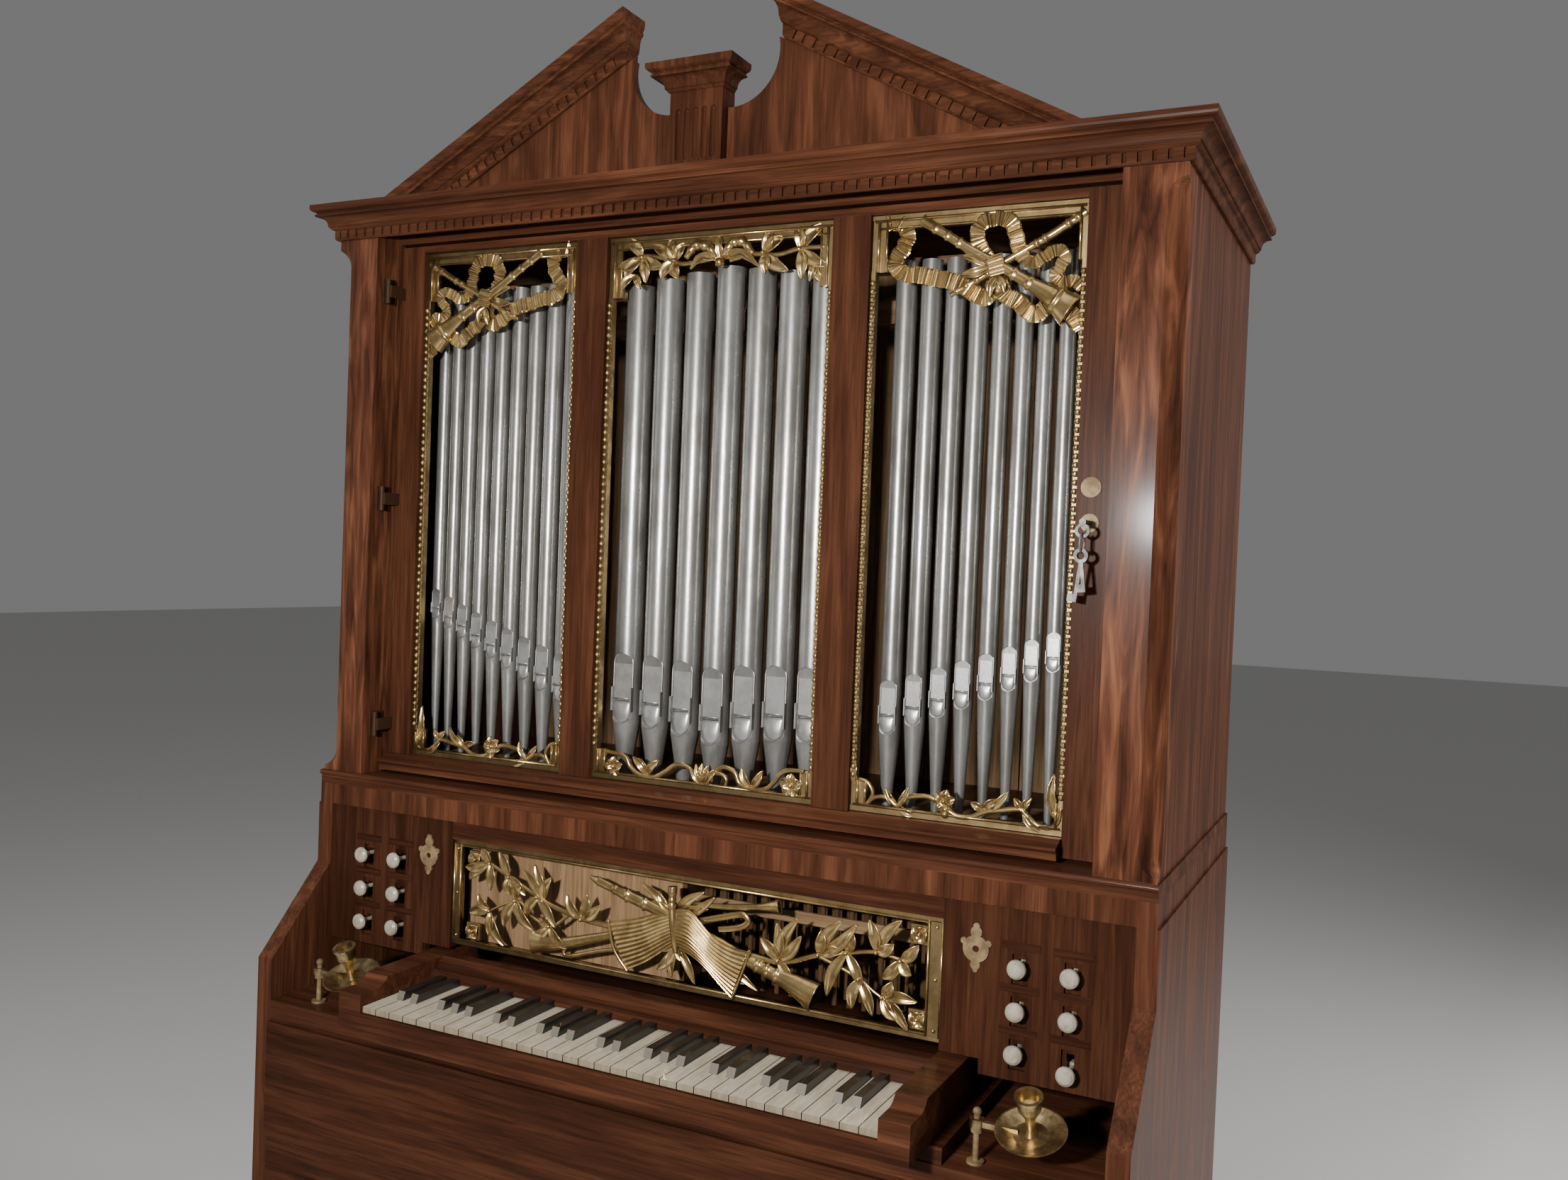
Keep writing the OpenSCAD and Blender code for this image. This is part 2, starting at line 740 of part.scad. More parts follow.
// Its section, reaching back by depth above the level of its seat
module cornice_profile(depth, seat) {
    polygon(concat(cornice_face(), [[-depth, cornice_h], [-depth, seat], [0, seat]]));
}
module cornice_side() {
    translate([upper_half, y_back, case_top]) rotate([90, 0, 0])
        linear_extrude(y_back - y_post + cornice_out) cornice_profile(cornice_in, lintel_h);
}
module cornice_front() {
    translate([-upper_half - cornice_out, y_post, case_top]) rotate([90, 0, 90])
        linear_extrude(upper_w + 2 * cornice_out) mirror([1, 0])
            cornice_profile(cornice_in, lintel_h);
}

// Mitre wedge that keeps what lies before the diagonal of both front corners
module front_wedge(reach) {
    translate([0, y_post, case_top - 1]) linear_extrude(cornice_h + 2)
        polygon([[-upper_half - reach, -reach], [upper_half + reach, -reach],
            [upper_half - cornice_in - 9, cornice_in + 9],
            [-upper_half + cornice_in + 9, cornice_in + 9]]);
}

// Bed of the dentils in the band of the front
dentil_bed = 2;
dentil_half = upper_half - 3;
module cornice() {
    color(wood) difference() {
        union() {
            intersection() {
                cornice_front();
                front_wedge(60);
            }
            difference() {
                both_sides() cornice_side();
                front_wedge(60);
            }
        }
        board(-dentil_half, dentil_half, y_post - band_out - 1, y_post - dentil_bed,
            case_top + band[0], case_top + band[1]);
    }
}

// A row of n dentils along X over length l, on a thin strip at the back
module dentil_row(l, n) {
    pitch = l / n;
    tooth = 0.68 * pitch;
    h = band[1] - band[0];
    translate([0, -dentil_bed - 1, 0]) cube([l, 1, h]);
    for (i = [0:n - 1]) translate([(i + 0.5) * pitch - tooth / 2, -band_out, 0])
        cube([tooth, band_out - dentil_bed - 0.5, h]);
}
module dentils() {
    rake_l = rake_end - rake_start;
    color(wood) {
        translate([-dentil_half, y_post, case_top + band[0]])
            dentil_row(2 * dentil_half, round(2 * dentil_half / dentil_pitch));
        both_sides() rake_frame() translate([-rake_end, 0, band[0] - cornice_h])
            dentil_row(rake_l, round(rake_l / dentil_pitch));
    }
}

// Pediment: the raking cornices rise from its foot to the peaks beside the opening
slope_a = atan2(pediment_h, pediment_half - peak_x);
tymp_t = 16;
raking_in = tymp_t + 6;
raking_over = 8;
end_x = peak_x + return_out + 10;
rake_start = cornice_h / tan(slope_a) + 2;
rake_end = (pediment_half - end_x - cornice_h * sin(slope_a)) / cos(slope_a);

// Height at x of a line that runs d under the raking cornice's top
function rake_z(x, d) = roof_z + (pediment_half - x) * tan(slope_a) - d / cos(slope_a);

// Joint between the tympanum and the raking cornices
hairline = 0.15;
module tympanum_half() {
    half = pedestal_w / 2;
    notch_z = roof_z + notch_up;
    difference() {
        polygon([[half, roof_z],
            [pediment_half - (raking_over + hairline) / sin(slope_a), roof_z],
            [end_x + hairline, rake_z(end_x + hairline, raking_over + hairline)],
            [end_x + hairline, rake_z(end_x + hairline, cornice_h + hairline)],
            [notch_x, rake_z(notch_x, cornice_h + hairline)],
            [half, rake_z(notch_x, cornice_h + hairline)]]);
        translate([notch_x - notch_r, notch_z]) circle(notch_r);
        translate([half - 1, notch_z]) square([notch_x - half - 0.2, pediment_h]);
    }
}
module tympanum() {
    color(wood) both_sides() plate(y_post, tymp_t) tympanum_half();
}

// Frame of the right raking cornice: X along its top, Z square to it
module rake_frame() {
    translate([pediment_half, y_post, roof_z]) rotate([0, slope_a, 0]) children();
}

// What the plumb end of a raking cornice keeps, in X and Z
module return_region() {
    k = return_out / cornice_out;
    top = roof_z + pediment_h + 20;
    polygon(concat(
        [for (q = cornice_face()) let(x = peak_x + (cornice_out - q[0]) * k)
            [x, rake_z(x, cornice_h - q[1])]],
        [[peak_x, top], [pediment_half + 60, top], [pediment_half + 60, roof_z],
            [peak_x + return_out, roof_z]]));
}
module raking_cornice() {
    l = norm([pediment_half - peak_x, pediment_h]) + 40;
    intersection() {
        difference() {
            union() {
                rake_frame() translate([-l, 0, -cornice_h]) rotate([90, 0, 90])
                    linear_extrude(l + 60) mirror([1, 0])
                        cornice_profile(raking_in, cornice_h - raking_over);
                intersection() {
                    rake_frame() translate([-l, 0, -cornice_h])
                        cube([l, raking_in, cornice_h]);
                    board(0, end_x, y_post, y_post + raking_in, roof_z,
                        roof_z + pediment_h + 1);
                }
            }
            rake_frame() translate([-rake_end, -band_out - 1, band[0] - cornice_h])
                cube([rake_end - rake_start, band_out + 1 - dentil_bed, band[1] - band[0]]);
        }
        plate(y_post - 60, 120) return_region();
    }
}
module raking_cornices() {
    color(wood) both_sides() raking_cornice();
}

// Pedestal in the middle of the pediment: fluted shaft and a cap with the cornice's section
cap_back = 12;
cap_in = 8;
flute_d = 8;
module pedestal() {
    half = pedestal_w / 2;
    y0 = y_post - pedestal_out;
    y1 = y_post + tymp_t;
    cap = [for (q = cornice_face()) if (q[1] > band[1]) [q[0] - cap_in, q[1]]];
    cap_z = roof_z + pedestal_h - cornice_h;
    foot = cap_z + cap[0][1];
    top = roof_z + pedestal_h;
    flute_z = [roof_z + 14, foot - 26];
    color(wood) {
        difference() {
            board(-half, half, y0, y1, roof_z, foot + 6);
            for (i = [-2:2]) translate([i * pedestal_w / 6, y0, 0]) {
                translate([0, 0, flute_z[0]]) cylinder(d = flute_d, h = flute_z[1] - flute_z[0]);
                for (z = flute_z) translate([0, 0, z]) sphere(d = flute_d * 1.01);
            }
        }
        intersection() {
            along_x(-half - cornice_out, half + cornice_out) polygon(concat(
                [for (q = cap) [y0 - q[0], cap_z + q[1]]],
                [[y_post + cap_back, top], [y_post + cap_back, foot]]));
            plate(y0 - cornice_out - 5, 120) polygon(concat(
                [for (q = cap) [half + q[0], cap_z + q[1]]],
                [for (i = [len(cap) - 1:-1:0]) [-half - cap[i][0], cap_z + cap[i][1]]]));
        }
    }
}

// Door
module door_stiles() {
    color(wood) {
        both_sides() {
            board(field_mid_w / 2, field_side_x, 0, door_t, field_z, field_z + field_h);
        }
        board(-door_half, -field_side_x - field_side_w, 0, door_t, door_z, door_z + door_h);
        difference() {
            board(field_side_x + field_side_w, door_half, 0, door_t, door_z,
                door_z + door_h);
            translate([lock_x, -1, lock_z]) rotate([-90, 0, 0]) cylinder(d = 6.1, h = 12);
        }
    }
}

// Door halves of the hinges: knuckle on the pin and a crank back to the stile
hinge_x = -post_in + 7;
hinge_y = -30;
hinge_pin_d = 3.4;
knuckle_d = 7.5;
knuckle_h = 18;
hinge_leaf = 2;
hinge_levels = [door_z + 60, door_z + 400, door_z + door_h - 80];
module door_hinges() {
    for (z = hinge_levels) difference() {
        union() {
            translate([hinge_x, hinge_y, z]) cylinder(d = knuckle_d, h = knuckle_h);
            board(hinge_x, hinge_x + 7, hinge_y - 1, hinge_y + 1, z, z + knuckle_h);
            board(hinge_x + 5, hinge_x + 7, hinge_y, 0, z, z + knuckle_h);
        }
        translate([hinge_x, hinge_y, z - 1]) cylinder(d = hinge_pin_d + 0.1,
            h = knuckle_h + 2);
    }
}

module door_rails() {
    edge = field_side_x + field_side_w;
    color(wood) {
        board(-edge, edge, 0, door_t, door_z, field_z);
        board(-edge, edge, 0, door_t, field_z + field_h, door_z + door_h);
        along_x(-door_half + 2, edge) polygon([[0, door_z], [-base_mould_out + 4, door_z],
            [-base_mould_out + 4, door_z + 8], [-base_mould_out, door_z + 12],
            [-base_mould_out, door_z + 15], [-12, door_z + 19], [-6, field_z],
            [0, field_z]]);
    }
}

// Gilt frame of a field of width w: thin pearl strips, and broad corner pieces that end
// leg_top below the top and leg_foot over the foot
pearl_strip = 8;
module field_frame(w, leg_top, leg_foot) {
    difference() {
        square([w, field_h]);
        translate([pearl_strip, pearl_strip])
            square([w - 2 * pearl_strip, field_h - 2 * pearl_strip - 2]);
    }
    for (x = [0, w - slip_w]) {
        translate([x, field_h - leg_top]) square([slip_w, leg_top]);
        translate([x, 0]) square([slip_w, leg_foot]);
    }
}

// Side field: ribbon with a horn and a flute hanging at the top, vine at the foot.
// Heights at the top are measured down from the field's top
module side_fret_outline() {
    w = field_side_w;
    field_frame(w, 72, 40);
    intersection() {
        square([w, field_h]);
        union() {
            translate([0, field_h]) {
                stem([[14, -4], [44, -26], [34, -60], [47, -75], [104, -87], [150, -108],
                    [163, -84]], 15);
                stem([[165, -84], [190, -115], [214, -132], [237, -120], [256, -134],
                    [w - 6, -150]], 15);
                stem([[166, -80], [142, -40], [166, -18], [188, -46], [210, -70], [241, -62],
                    [240, -92], [w - 6, -103]], 12);
                stem([[69, -12], [139, -57], [223, -107]], 12);
                stem([[216, -103], [248, -124]], 26);
                stem([[w - 6, -16], [190, -60], [107, -104]], 10);
                spray([163, -78], [[121, -60], [121, -84]], 12);
                translate([163, -80]) circle(12);
                stem([[69, -12], [60, -4]], 8);
            }
            stem([[4, 14], [30, 12], [41, 22], [62, 8], [86, 27], [110, 27], [147, 9],
                [179, 19], [209, 27], [245, 9], [w - 6, 18]], 8);
            translate([127, 24]) circle(14);
            spray([68, 12], [[92, 4], [56, 30]], 12);
            spray([177, 18], [[205, 46], [160, 40]], 12);
            spray([225, 22], [[250, 2], [236, 46]], 12);
            spray([w - 6, 20], [[262, 72], [250, 52]], 14);
        }
    }
}

// Middle field: acanthus fan and two leafy stems at the top, vine with rosettes at the foot
module middle_fret_outline() {
    w = field_mid_w;
    mid = w / 2;
    field_frame(w, 84, 42);
    intersection() {
        square([w, field_h]);
        union() {
            translate([0, field_h]) {
                spray([mid, -34], [[mid - 26, -6], [mid, -2], [mid + 22, -8], [mid - 46, -50],
                    [mid + 62, -54], [mid - 40, -20], [mid + 40, -20]], 17);
                stem([[mid, -36], [121, -42], [52, -28], [6, -40]], 8);
                stem([[mid, -36], [228, -36], [261, -39], [w - 6, -32]], 8);
                spray([104, -38], [[74, -16], [100, -6], [86, -58], [119, -32], [106, -58]], 14);
                spray([50, -29], [[30, -4], [84, -42], [60, -62], [28, -54], [48, -72],
                    [16, -74]], 14);
                spray([242, -36], [[249, -4], [268, -20], [274, -58], [242, -60]], 14);
                spray([296, -36], [[292, -6], [326, -10], [328, -58], [296, -72], [312, -78]], 14);
            }
            stem([[4, 26], [19, 39], [52, 35], [77, 12], [118, 19], [150, 31], [mid - 4, 6]], 9);
            stem([[mid + 4, 6], [206, 28], [233, 16], [274, 13], [296, 36], [328, 40],
                [w - 4, 30]], 9);
            spray([mid + 6, 8], [[166, 32], [175, 36], [188, 34], [200, 34]], 11);
            spray([92, 12], [[74, 40], [110, 44]], 12);
            spray([252, 13], [[268, 40], [236, 40]], 12);
            translate([34, 19]) circle(15);
            translate([w - 30, 22]) circle(16);
        }
    }
}
fret_y = 10;
module fret_middle() {
    color(gilt) plate(fret_y, fret_t) translate([-field_mid_w / 2, field_z])
        middle_fret_outline();
}
module fret_right() {
    color(gilt) plate(fret_y, fret_t) translate([field_side_x, field_z]) side_fret_outline();
}
module fret_left() {
    color(gilt) mirror([1, 0, 0]) plate(fret_y, fret_t) translate([field_side_x, field_z])
        side_fret_outline();
}

// Lock plate with the key and its bunch
lock_x = 518;
lock_z = field_z + lock_up;
module lock_plate() {
    plate(-2, 2) {
        difference() {
            translate([lock_x, lock_z]) circle(11);
            translate([lock_x, lock_z]) circle(3.05);
        }
        translate([lock_x, lock_z + 42]) circle(12);
    }
}
module door_brasses() {
    color(brass) {
        lock_plate();
        door_hinges();
    }
}

// Key in the lock: shaft along Y, bow upright at its end
bow_y = -34;
bow_drop = 10;
bow_hole = 5;
ring_r = 11;
ring_wire = 1.2;
module lock_key() {
    color(iron) {
        translate([lock_x, 4, lock_z]) rotate([90, 0, 0]) cylinder(d = 6, h = 4 - bow_y);
        plate(bow_y - 1.5, 3) translate([lock_x, lock_z]) difference() {
            union() {
                circle(4);
                translate([0, -bow_drop]) circle(8.5);
            }
            translate([0, -bow_drop]) circle(bow_hole);
        }
    }
}

// Spare key of length l in X and Z, hanging from its bow
module spare_key(l) {
    difference() {
        circle(8.5);
        circle(4.5);
    }
    translate([-2, -l]) square([4, l - 7]);
    translate([-9, -l]) square([9, 9]);
}

// Two spare keys on a ring through the bow
module spare_keys() {
    hang = bow_hole - ring_wire - 0.4;
    color(iron) translate([lock_x, bow_y, lock_z - bow_drop - hang]) {
        translate([0, 0, -ring_r]) rotate([0, 90, 0]) rotate_extrude()
            translate([ring_r, 0]) circle(ring_wire, $fn = 16);
        for (side = [-1, 1]) translate([0, side * 2.5, -2 * ring_r - 4.5 + ring_wire - 0.1])
            rotate([0, 7 * side, 0]) plate(-1.5, 3) spare_key(48 + 6 * side);
    }
}

plinth();
bottom_board();
bureau_side_left();
bureau_side_right();
bureau_back();
lower_front();
lower_front_panel();
desk_floor();
key_bed();
bureau_frieze();
shelf();
stop_jamb_left();
stop_jamb_right();
desk_top_rail();
desk_fret();
action();
case_brasses();
candle_arm_left();
candle_arm_right();
key_frame();
key_cheeks();
nameboard();
naturals();
sharps();
stop_left_1();
stop_left_2();
stop_left_3();
stop_left_4();
stop_left_5();
stop_left_6();
stop_right_1();
stop_right_2();
stop_right_3();
stop_right_4();
stop_right_5();
stop_right_6();
upper_side_left();
upper_side_right();
upper_back();
upper_roof();
corner_posts();
windchest();
pipe_rack();
pipes_left();
pipes_middle();
pipes_right();
top_frieze();
cornice();
dentils();
tympanum();
raking_cornices();
pedestal();
door_stiles();
door_rails();
fret_left();
fret_middle();
fret_right();
door_brasses();
lock_key();
spare_keys();
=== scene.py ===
import math

import bmesh
import bpy
from mathutils import Matrix, Vector


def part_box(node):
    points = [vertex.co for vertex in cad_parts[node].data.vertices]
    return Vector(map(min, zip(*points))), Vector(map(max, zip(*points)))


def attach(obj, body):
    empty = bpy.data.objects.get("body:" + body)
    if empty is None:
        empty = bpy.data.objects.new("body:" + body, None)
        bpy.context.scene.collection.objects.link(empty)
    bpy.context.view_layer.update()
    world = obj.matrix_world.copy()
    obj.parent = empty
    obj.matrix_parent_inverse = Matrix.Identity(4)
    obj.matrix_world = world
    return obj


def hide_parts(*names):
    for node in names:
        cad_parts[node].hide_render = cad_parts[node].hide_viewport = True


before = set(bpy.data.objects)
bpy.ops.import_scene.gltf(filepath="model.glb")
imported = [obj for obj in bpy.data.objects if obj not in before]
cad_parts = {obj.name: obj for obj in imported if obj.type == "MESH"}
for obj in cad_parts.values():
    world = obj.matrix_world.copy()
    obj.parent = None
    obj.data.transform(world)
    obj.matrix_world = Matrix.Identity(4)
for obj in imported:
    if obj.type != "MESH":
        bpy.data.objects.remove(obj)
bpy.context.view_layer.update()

MM = 0.001
SIDES = (("left", -1), ("right", 1))
STOPS = range(1, 7)

# Places taken from the frame, in metres
KEY_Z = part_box("naturals")[1][2]
SHELF_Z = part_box("shelf")[1][2]
CHEST_TOP = (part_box("windchest")[1][2] - SHELF_Z) / MM
JAMB_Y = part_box("stop_jamb_left")[0][1]

# Numbers that the source has too, in metres
NATURALS = 32
NATURAL_PITCH = 0.02312
PIPE_Y = 0.050
BACK_BOARD_W = 0.157


# Materials
class Shader:
    """A new material with short ways to build its nodes. A value is a number, colour or socket."""

    def __init__(self, name):
        self.material = bpy.data.materials.new(name)
        self.material.use_nodes = True
        self.tree = self.material.node_tree
        self.surface = self.tree.nodes["Principled BSDF"].inputs

    def put(self, socket, value):
        if isinstance(value, bpy.types.NodeSocket):
            self.tree.links.new(value, socket)
        elif socket.type == "RGBA":
            socket.default_value = (*value, 1)
        else:
            socket.default_value = value

    def add(self, kind, **inputs):
        new = self.tree.nodes.new("ShaderNode" + kind)
        for name, value in inputs.items():
            self.put(new.inputs[name], value)
        return new

    def math(self, operation, *values):
        new = self.add("Math")
        new.operation = operation
        for socket, value in zip(new.inputs, values):
            self.put(socket, value)
        return new.outputs[0]

    def place(self, source="Object"):
        return self.add("TexCoord").outputs[source]

    def along(self, axis, source="Object"):
        """One coordinate of the surface point."""
        return self.add("SeparateXYZ", Vector=self.place(source)).outputs[axis]

    def noise(self, stretch, scale, turn=(0, 0, 0), offset=(0, 0, 0), **more):
        mapped = self.add("Mapping", Vector=self.place(), Location=offset, Rotation=turn,
                          Scale=stretch)
        return self.add("TexNoise", Vector=mapped.outputs[0], Scale=scale, **more).outputs["Fac"]

    def ramp(self, factor, *stops):
        """Colours at places between 0 and 1."""
        new = self.add("ValToRGB", Fac=factor)
        elements = new.color_ramp.elements
        while len(elements) < len(stops):
            elements.new(0.5)
        for element, (position, colour) in zip(elements, stops):
            element.position = position
            element.color = (*colour, 1)
        return new.outputs[0]

    def mix(self, kind, factor, a, b):
        new = self.add("Mix")
        new.data_type = "RGBA"
        new.blend_type = kind
        for socket, value in zip((new.inputs[0], new.inputs[6], new.inputs[7]), (factor, a, b)):
            self.put(socket, value)
        return new.outputs[2]

    def set(self, **values):
        """Sockets of the surface; an underscore in a name stands for a space."""
        for name, value in values.items():
            self.put(self.surface[name.replace("_", " ")], value)

    def relief(self, height, strength):
        bump = self.add("Bump", Height=height, Strength=strength, Distance=0.5 * MM)
        self.set(Normal=bump.outputs[0])

    def roughness(self, factor, first, last):
        """Roughness from first to last as the factor goes from 0 to 1."""
        span = self.add("MapRange", Value=factor, **{"To Min": first, "To Max": last})
        self.set(Roughness=span.outputs[0])

    def repaint(self, kind, where, colour):
        """Another colour over the base colour, where the factor is 1."""
        base = self.surface["Base Color"].links[0].from_socket
        self.set(Base_Color=self.mix(kind, where, base, colour))


def wood(name, along, tones, figure=0.35, turn=(0, 0, 0), rough=0.3, seed=0.0, wild=1.0,
         flames=(24.0, 2.2)):
    """Polished wood: fine grain along one axis over soft flames, with pores.

    The tones are dark, middle and light. The figure is the share of the flames, wild bends
    them, and flames says how often they come in a metre, across and along.
    """
    shader = Shader(name)

    def layer(across, length, **more):
        stretch = [across] * 3
        stretch["xyz".index(along)] = length
        return shader.noise(stretch, 1.0, turn, (seed, seed * 0.7, seed * 1.3), **more)

    grain = layer(120.0, 5.0, Detail=6.0, Roughness=0.62, Distortion=0.8)
    flame = layer(*flames, Detail=4.0, Roughness=0.5, Distortion=wild)
    lines = layer(420.0, 14.0, Detail=2.0, Roughness=0.5)
    both = shader.math("MULTIPLY_ADD", grain, 1 - figure, shader.math("MULTIPLY", flame, figure))
    colours = shader.ramp(both, *zip((0.32, 0.5, 0.70), tones))
    pores = shader.ramp(lines, (0.34, (0.55,) * 3), (0.48, (1.0,) * 3))
    shader.set(Base_Color=shader.mix("MULTIPLY", 0.55, colours, pores))
    shader.relief(pores, 0.10)
    shader.roughness(flame, rough - 0.06, rough + 0.1)
    shader.set(Specular_IOR_Level=0.03, Coat_Weight=0.04, Coat_Roughness=0.12)
    return shader


MAHOGANY = ((0.026, 0.0100, 0.0056), (0.060, 0.0215, 0.0108), (0.125, 0.047, 0.0225))
CROTCH = ((0.022, 0.0085, 0.0048), (0.082, 0.029, 0.0145), (0.200, 0.078, 0.038))
PINE = ((0.10, 0.055, 0.028), (0.2, 0.12, 0.06), (0.3, 0.19, 0.1))
PALE_PINE = ((0.13, 0.074, 0.037), (0.22, 0.135, 0.07), (0.30, 0.195, 0.105))
RAIL_PINE = ((0.12, 0.07, 0.035), (0.19, 0.115, 0.06), (0.26, 0.165, 0.09))
DARK_PINE = ((0.06, 0.034, 0.018), (0.11, 0.066, 0.036), (0.17, 0.105, 0.06))


def mahogany(name, along, gain=1.0, **more):
    tones = [tuple(c * gain for c in tone) for tone in MAHOGANY]
    return wood("mahogany_" + name, along, tones, **more)


def metal(name, bright, dull, rough, bump=0.15, scale=60.0, stretch=(1, 1, 1), pure=1.0,
          shine=0.5):
    """Metal with a mottled tarnish. Pure is how metallic it is, shine the gloss of the rest."""
    shader = Shader(name)
    cloud = shader.noise(stretch, scale, Detail=5.0, Roughness=0.6)
    shader.set(Base_Color=shader.ramp(cloud, (0.38, dull), (0.63, bright)))
    shader.set(Metallic=pure, Specular_IOR_Level=shine)
    shader.roughness(cloud, rough + 0.12, rough - 0.08)
    shader.relief(shader.noise(stretch, scale * 6, Detail=3.0, Roughness=0.6), bump)
    return shader


def smooth_stuff(name, base, stain, rough, stretch=(1, 1, 1), scale=30.0, coat=0.0):
    """Bone or ebony: a base colour with soft stains and faint lines."""
    shader = Shader(name)
    cloud = shader.noise(stretch, scale, Detail=5.0, Roughness=0.65)
    shader.set(Base_Color=shader.ramp(cloud, (0.3, stain), (0.6, base)), Coat_Weight=coat)
    shader.roughness(cloud, rough + 0.1, rough - 0.05)
    shader.relief(cloud, 0.06)
    return shader


def recolour(shader, tests, kind, colour):
    """Other colour where every test (source, axis, comparison, edge) holds."""
    where = 1.0
    for source, axis, comparison, edge in tests:
        holds = shader.math(comparison, shader.along(axis, source), edge)
        where = shader.math("MULTIPLY", holds, where)
    shader.repaint(kind, where, colour)
    return shader


def mark_joints(shader, pitch, start, dark, edge):
    """Dark joints between keys or boards of one pitch that start at x = start.

    The edge is where a joint starts, in pitches from the middle of its board.
    """
    steps = shader.math("DIVIDE", shader.math("SUBTRACT", shader.along("X"), start), pitch)
    off_middle = shader.math("SUBTRACT", shader.math("FRACT", steps), 0.5)
    in_joint = shader.math("GREATER_THAN", shader.math("ABSOLUTE", off_middle), edge)
    shader.repaint("MIX", in_joint, dark)
    return shader


# The board behind the gilt panel ends a little left of the middle; right of it the action gets
# painted shade, as the inside of the case lies in shade there
BOARD_END = -0.011
PAINTED_SHADE_RIGHT_OF_BOARD = (("Object", "X", "GREATER_THAN", BOARD_END),)
# Hinges sit at the left edge of the upper case
ON_HINGES = (("Object", "X", "LESS_THAN", -0.5), ("Object", "Z", "GREATER_THAN", 0.95))
FRONTS = (("Normal", "Y", "LESS_THAN", -0.5),)


def key_bone():
    """Bone plates with the joints between the naturals, darker on their fronts."""
    plates = smooth_stuff("bone_plates", (0.56, 0.50, 0.39), (0.41, 0.34, 0.24), 0.28,
                          stretch=(6, 1, 1), coat=0.3)
    mark_joints(plates, NATURAL_PITCH, -NATURALS / 2 * NATURAL_PITCH, (0.03, 0.02, 0.015), 0.472)
    return recolour(plates, FRONTS, "MULTIPLY", (0.42, 0.38, 0.32))


def key_ebony():
    blocks = smooth_stuff("ebony_keys", (0.012, 0.010, 0.009), (0.026, 0.021, 0.018), 0.3,
                          stretch=(8, 1, 8), coat=0.2)
    return recolour(blocks, FRONTS, "MIX", (0.13, 0.11, 0.085))


def hinge_brass():
    dull = metal("hinge_brass", (0.26, 0.18, 0.09), (0.13, 0.085, 0.045), 0.5, scale=70.0,
                 pure=0.2, shine=0.12)
    return recolour(dull, ON_HINGES, "MIX", (0.045, 0.022, 0.012))


def back_boards():
    boards = wood("pine_back", "z", PINE, figure=0.25, rough=0.6)
    return mark_joints(boards, BACK_BOARD_W, 0.0, (0.018, 0.011, 0.007), 0.492)


def action_pine():
    board = wood("pine_board", "z", PALE_PINE, figure=0.2, rough=0.55)
    # painted shade: the action right of the board's end is darkened, where the inside of the case
    # lies in shade
    return recolour(board, PAINTED_SHADE_RIGHT_OF_BOARD, "MULTIPLY", (0.30, 0.27, 0.24))


LOOKS = {
    "upright": mahogany("upright", "z", gain=0.8, figure=0.5),
    "upright_post": wood("mahogany_crotch", "z", CROTCH, figure=0.78, seed=3.1,
                         turn=(0, 0.2, 0), wild=1.3, flames=(46.0, 5.5)),
    "level": mahogany("level", "x", figure=0.5, seed=1.7),
    "level_dark": mahogany("level_dark", "x", gain=0.7, figure=0.5, seed=5.2),
    "frieze": mahogany("frieze", "z", figure=0.6, seed=7.4, wild=1.6),
    "side": mahogany("side", "z", gain=1.1, figure=0.45, seed=9.0),
    "slope": mahogany("slope", "x", figure=0.4, seed=2.2),
    "tympanum": mahogany("tympanum", "z", figure=0.6, seed=4.4, turn=(0, 0.5, 0), wild=1.5,
                         flames=(26.0, 4.0)),
    "jamb": mahogany("jamb", "z", gain=0.6, figure=0.5, seed=6.0),
    "strip": mahogany("strip", "x", gain=0.55, figure=0.3, seed=8.8),
    "pine": action_pine(),
    "pine_dark": wood("pine_dark", "x", DARK_PINE, figure=0.25, rough=0.6),
    "pine_rail": wood("pine_rail", "x", RAIL_PINE, figure=0.2, rough=0.55),
    "pine_back": back_boards(),
    "pine_level": wood("pine_level", "x", PINE, figure=0.25, rough=0.6),
    "gilt": metal("gilt_carving", (0.56, 0.40, 0.175), (0.32, 0.205, 0.08), 0.2, scale=45.0,
                  pure=0.9),
    "gilt_dull": metal("gilt_flat", (0.30, 0.21, 0.10), (0.17, 0.115, 0.05), 0.36, scale=45.0),
    "brass": metal("aged_brass", (0.62, 0.47, 0.24), (0.24, 0.17, 0.08), 0.32, scale=70.0),
    "hinge_brass": hinge_brass(),
    "tin": metal("pipe_metal", (0.37, 0.36, 0.34), (0.22, 0.21, 0.19), 0.27, bump=0.35,
                 scale=26.0, stretch=(1, 1, 0.35), pure=0.72),
    "lip": metal("lip_metal", (0.50, 0.49, 0.47), (0.33, 0.32, 0.30), 0.32, bump=0.2,
                 scale=40.0, pure=0.75),
    "steel": metal("worn_steel", (0.24, 0.23, 0.21), (0.10, 0.09, 0.08), 0.5, scale=90.0,
                   pure=0.25, shine=0.3),
    "bone": key_bone(),
    "knob": smooth_stuff("bone_knobs", (0.36, 0.32, 0.25), (0.22, 0.18, 0.125), 0.34,
                         scale=60.0),
    "ebony": key_ebony(),
}
MATERIALS = {name: shader.material for name, shader in LOOKS.items()}

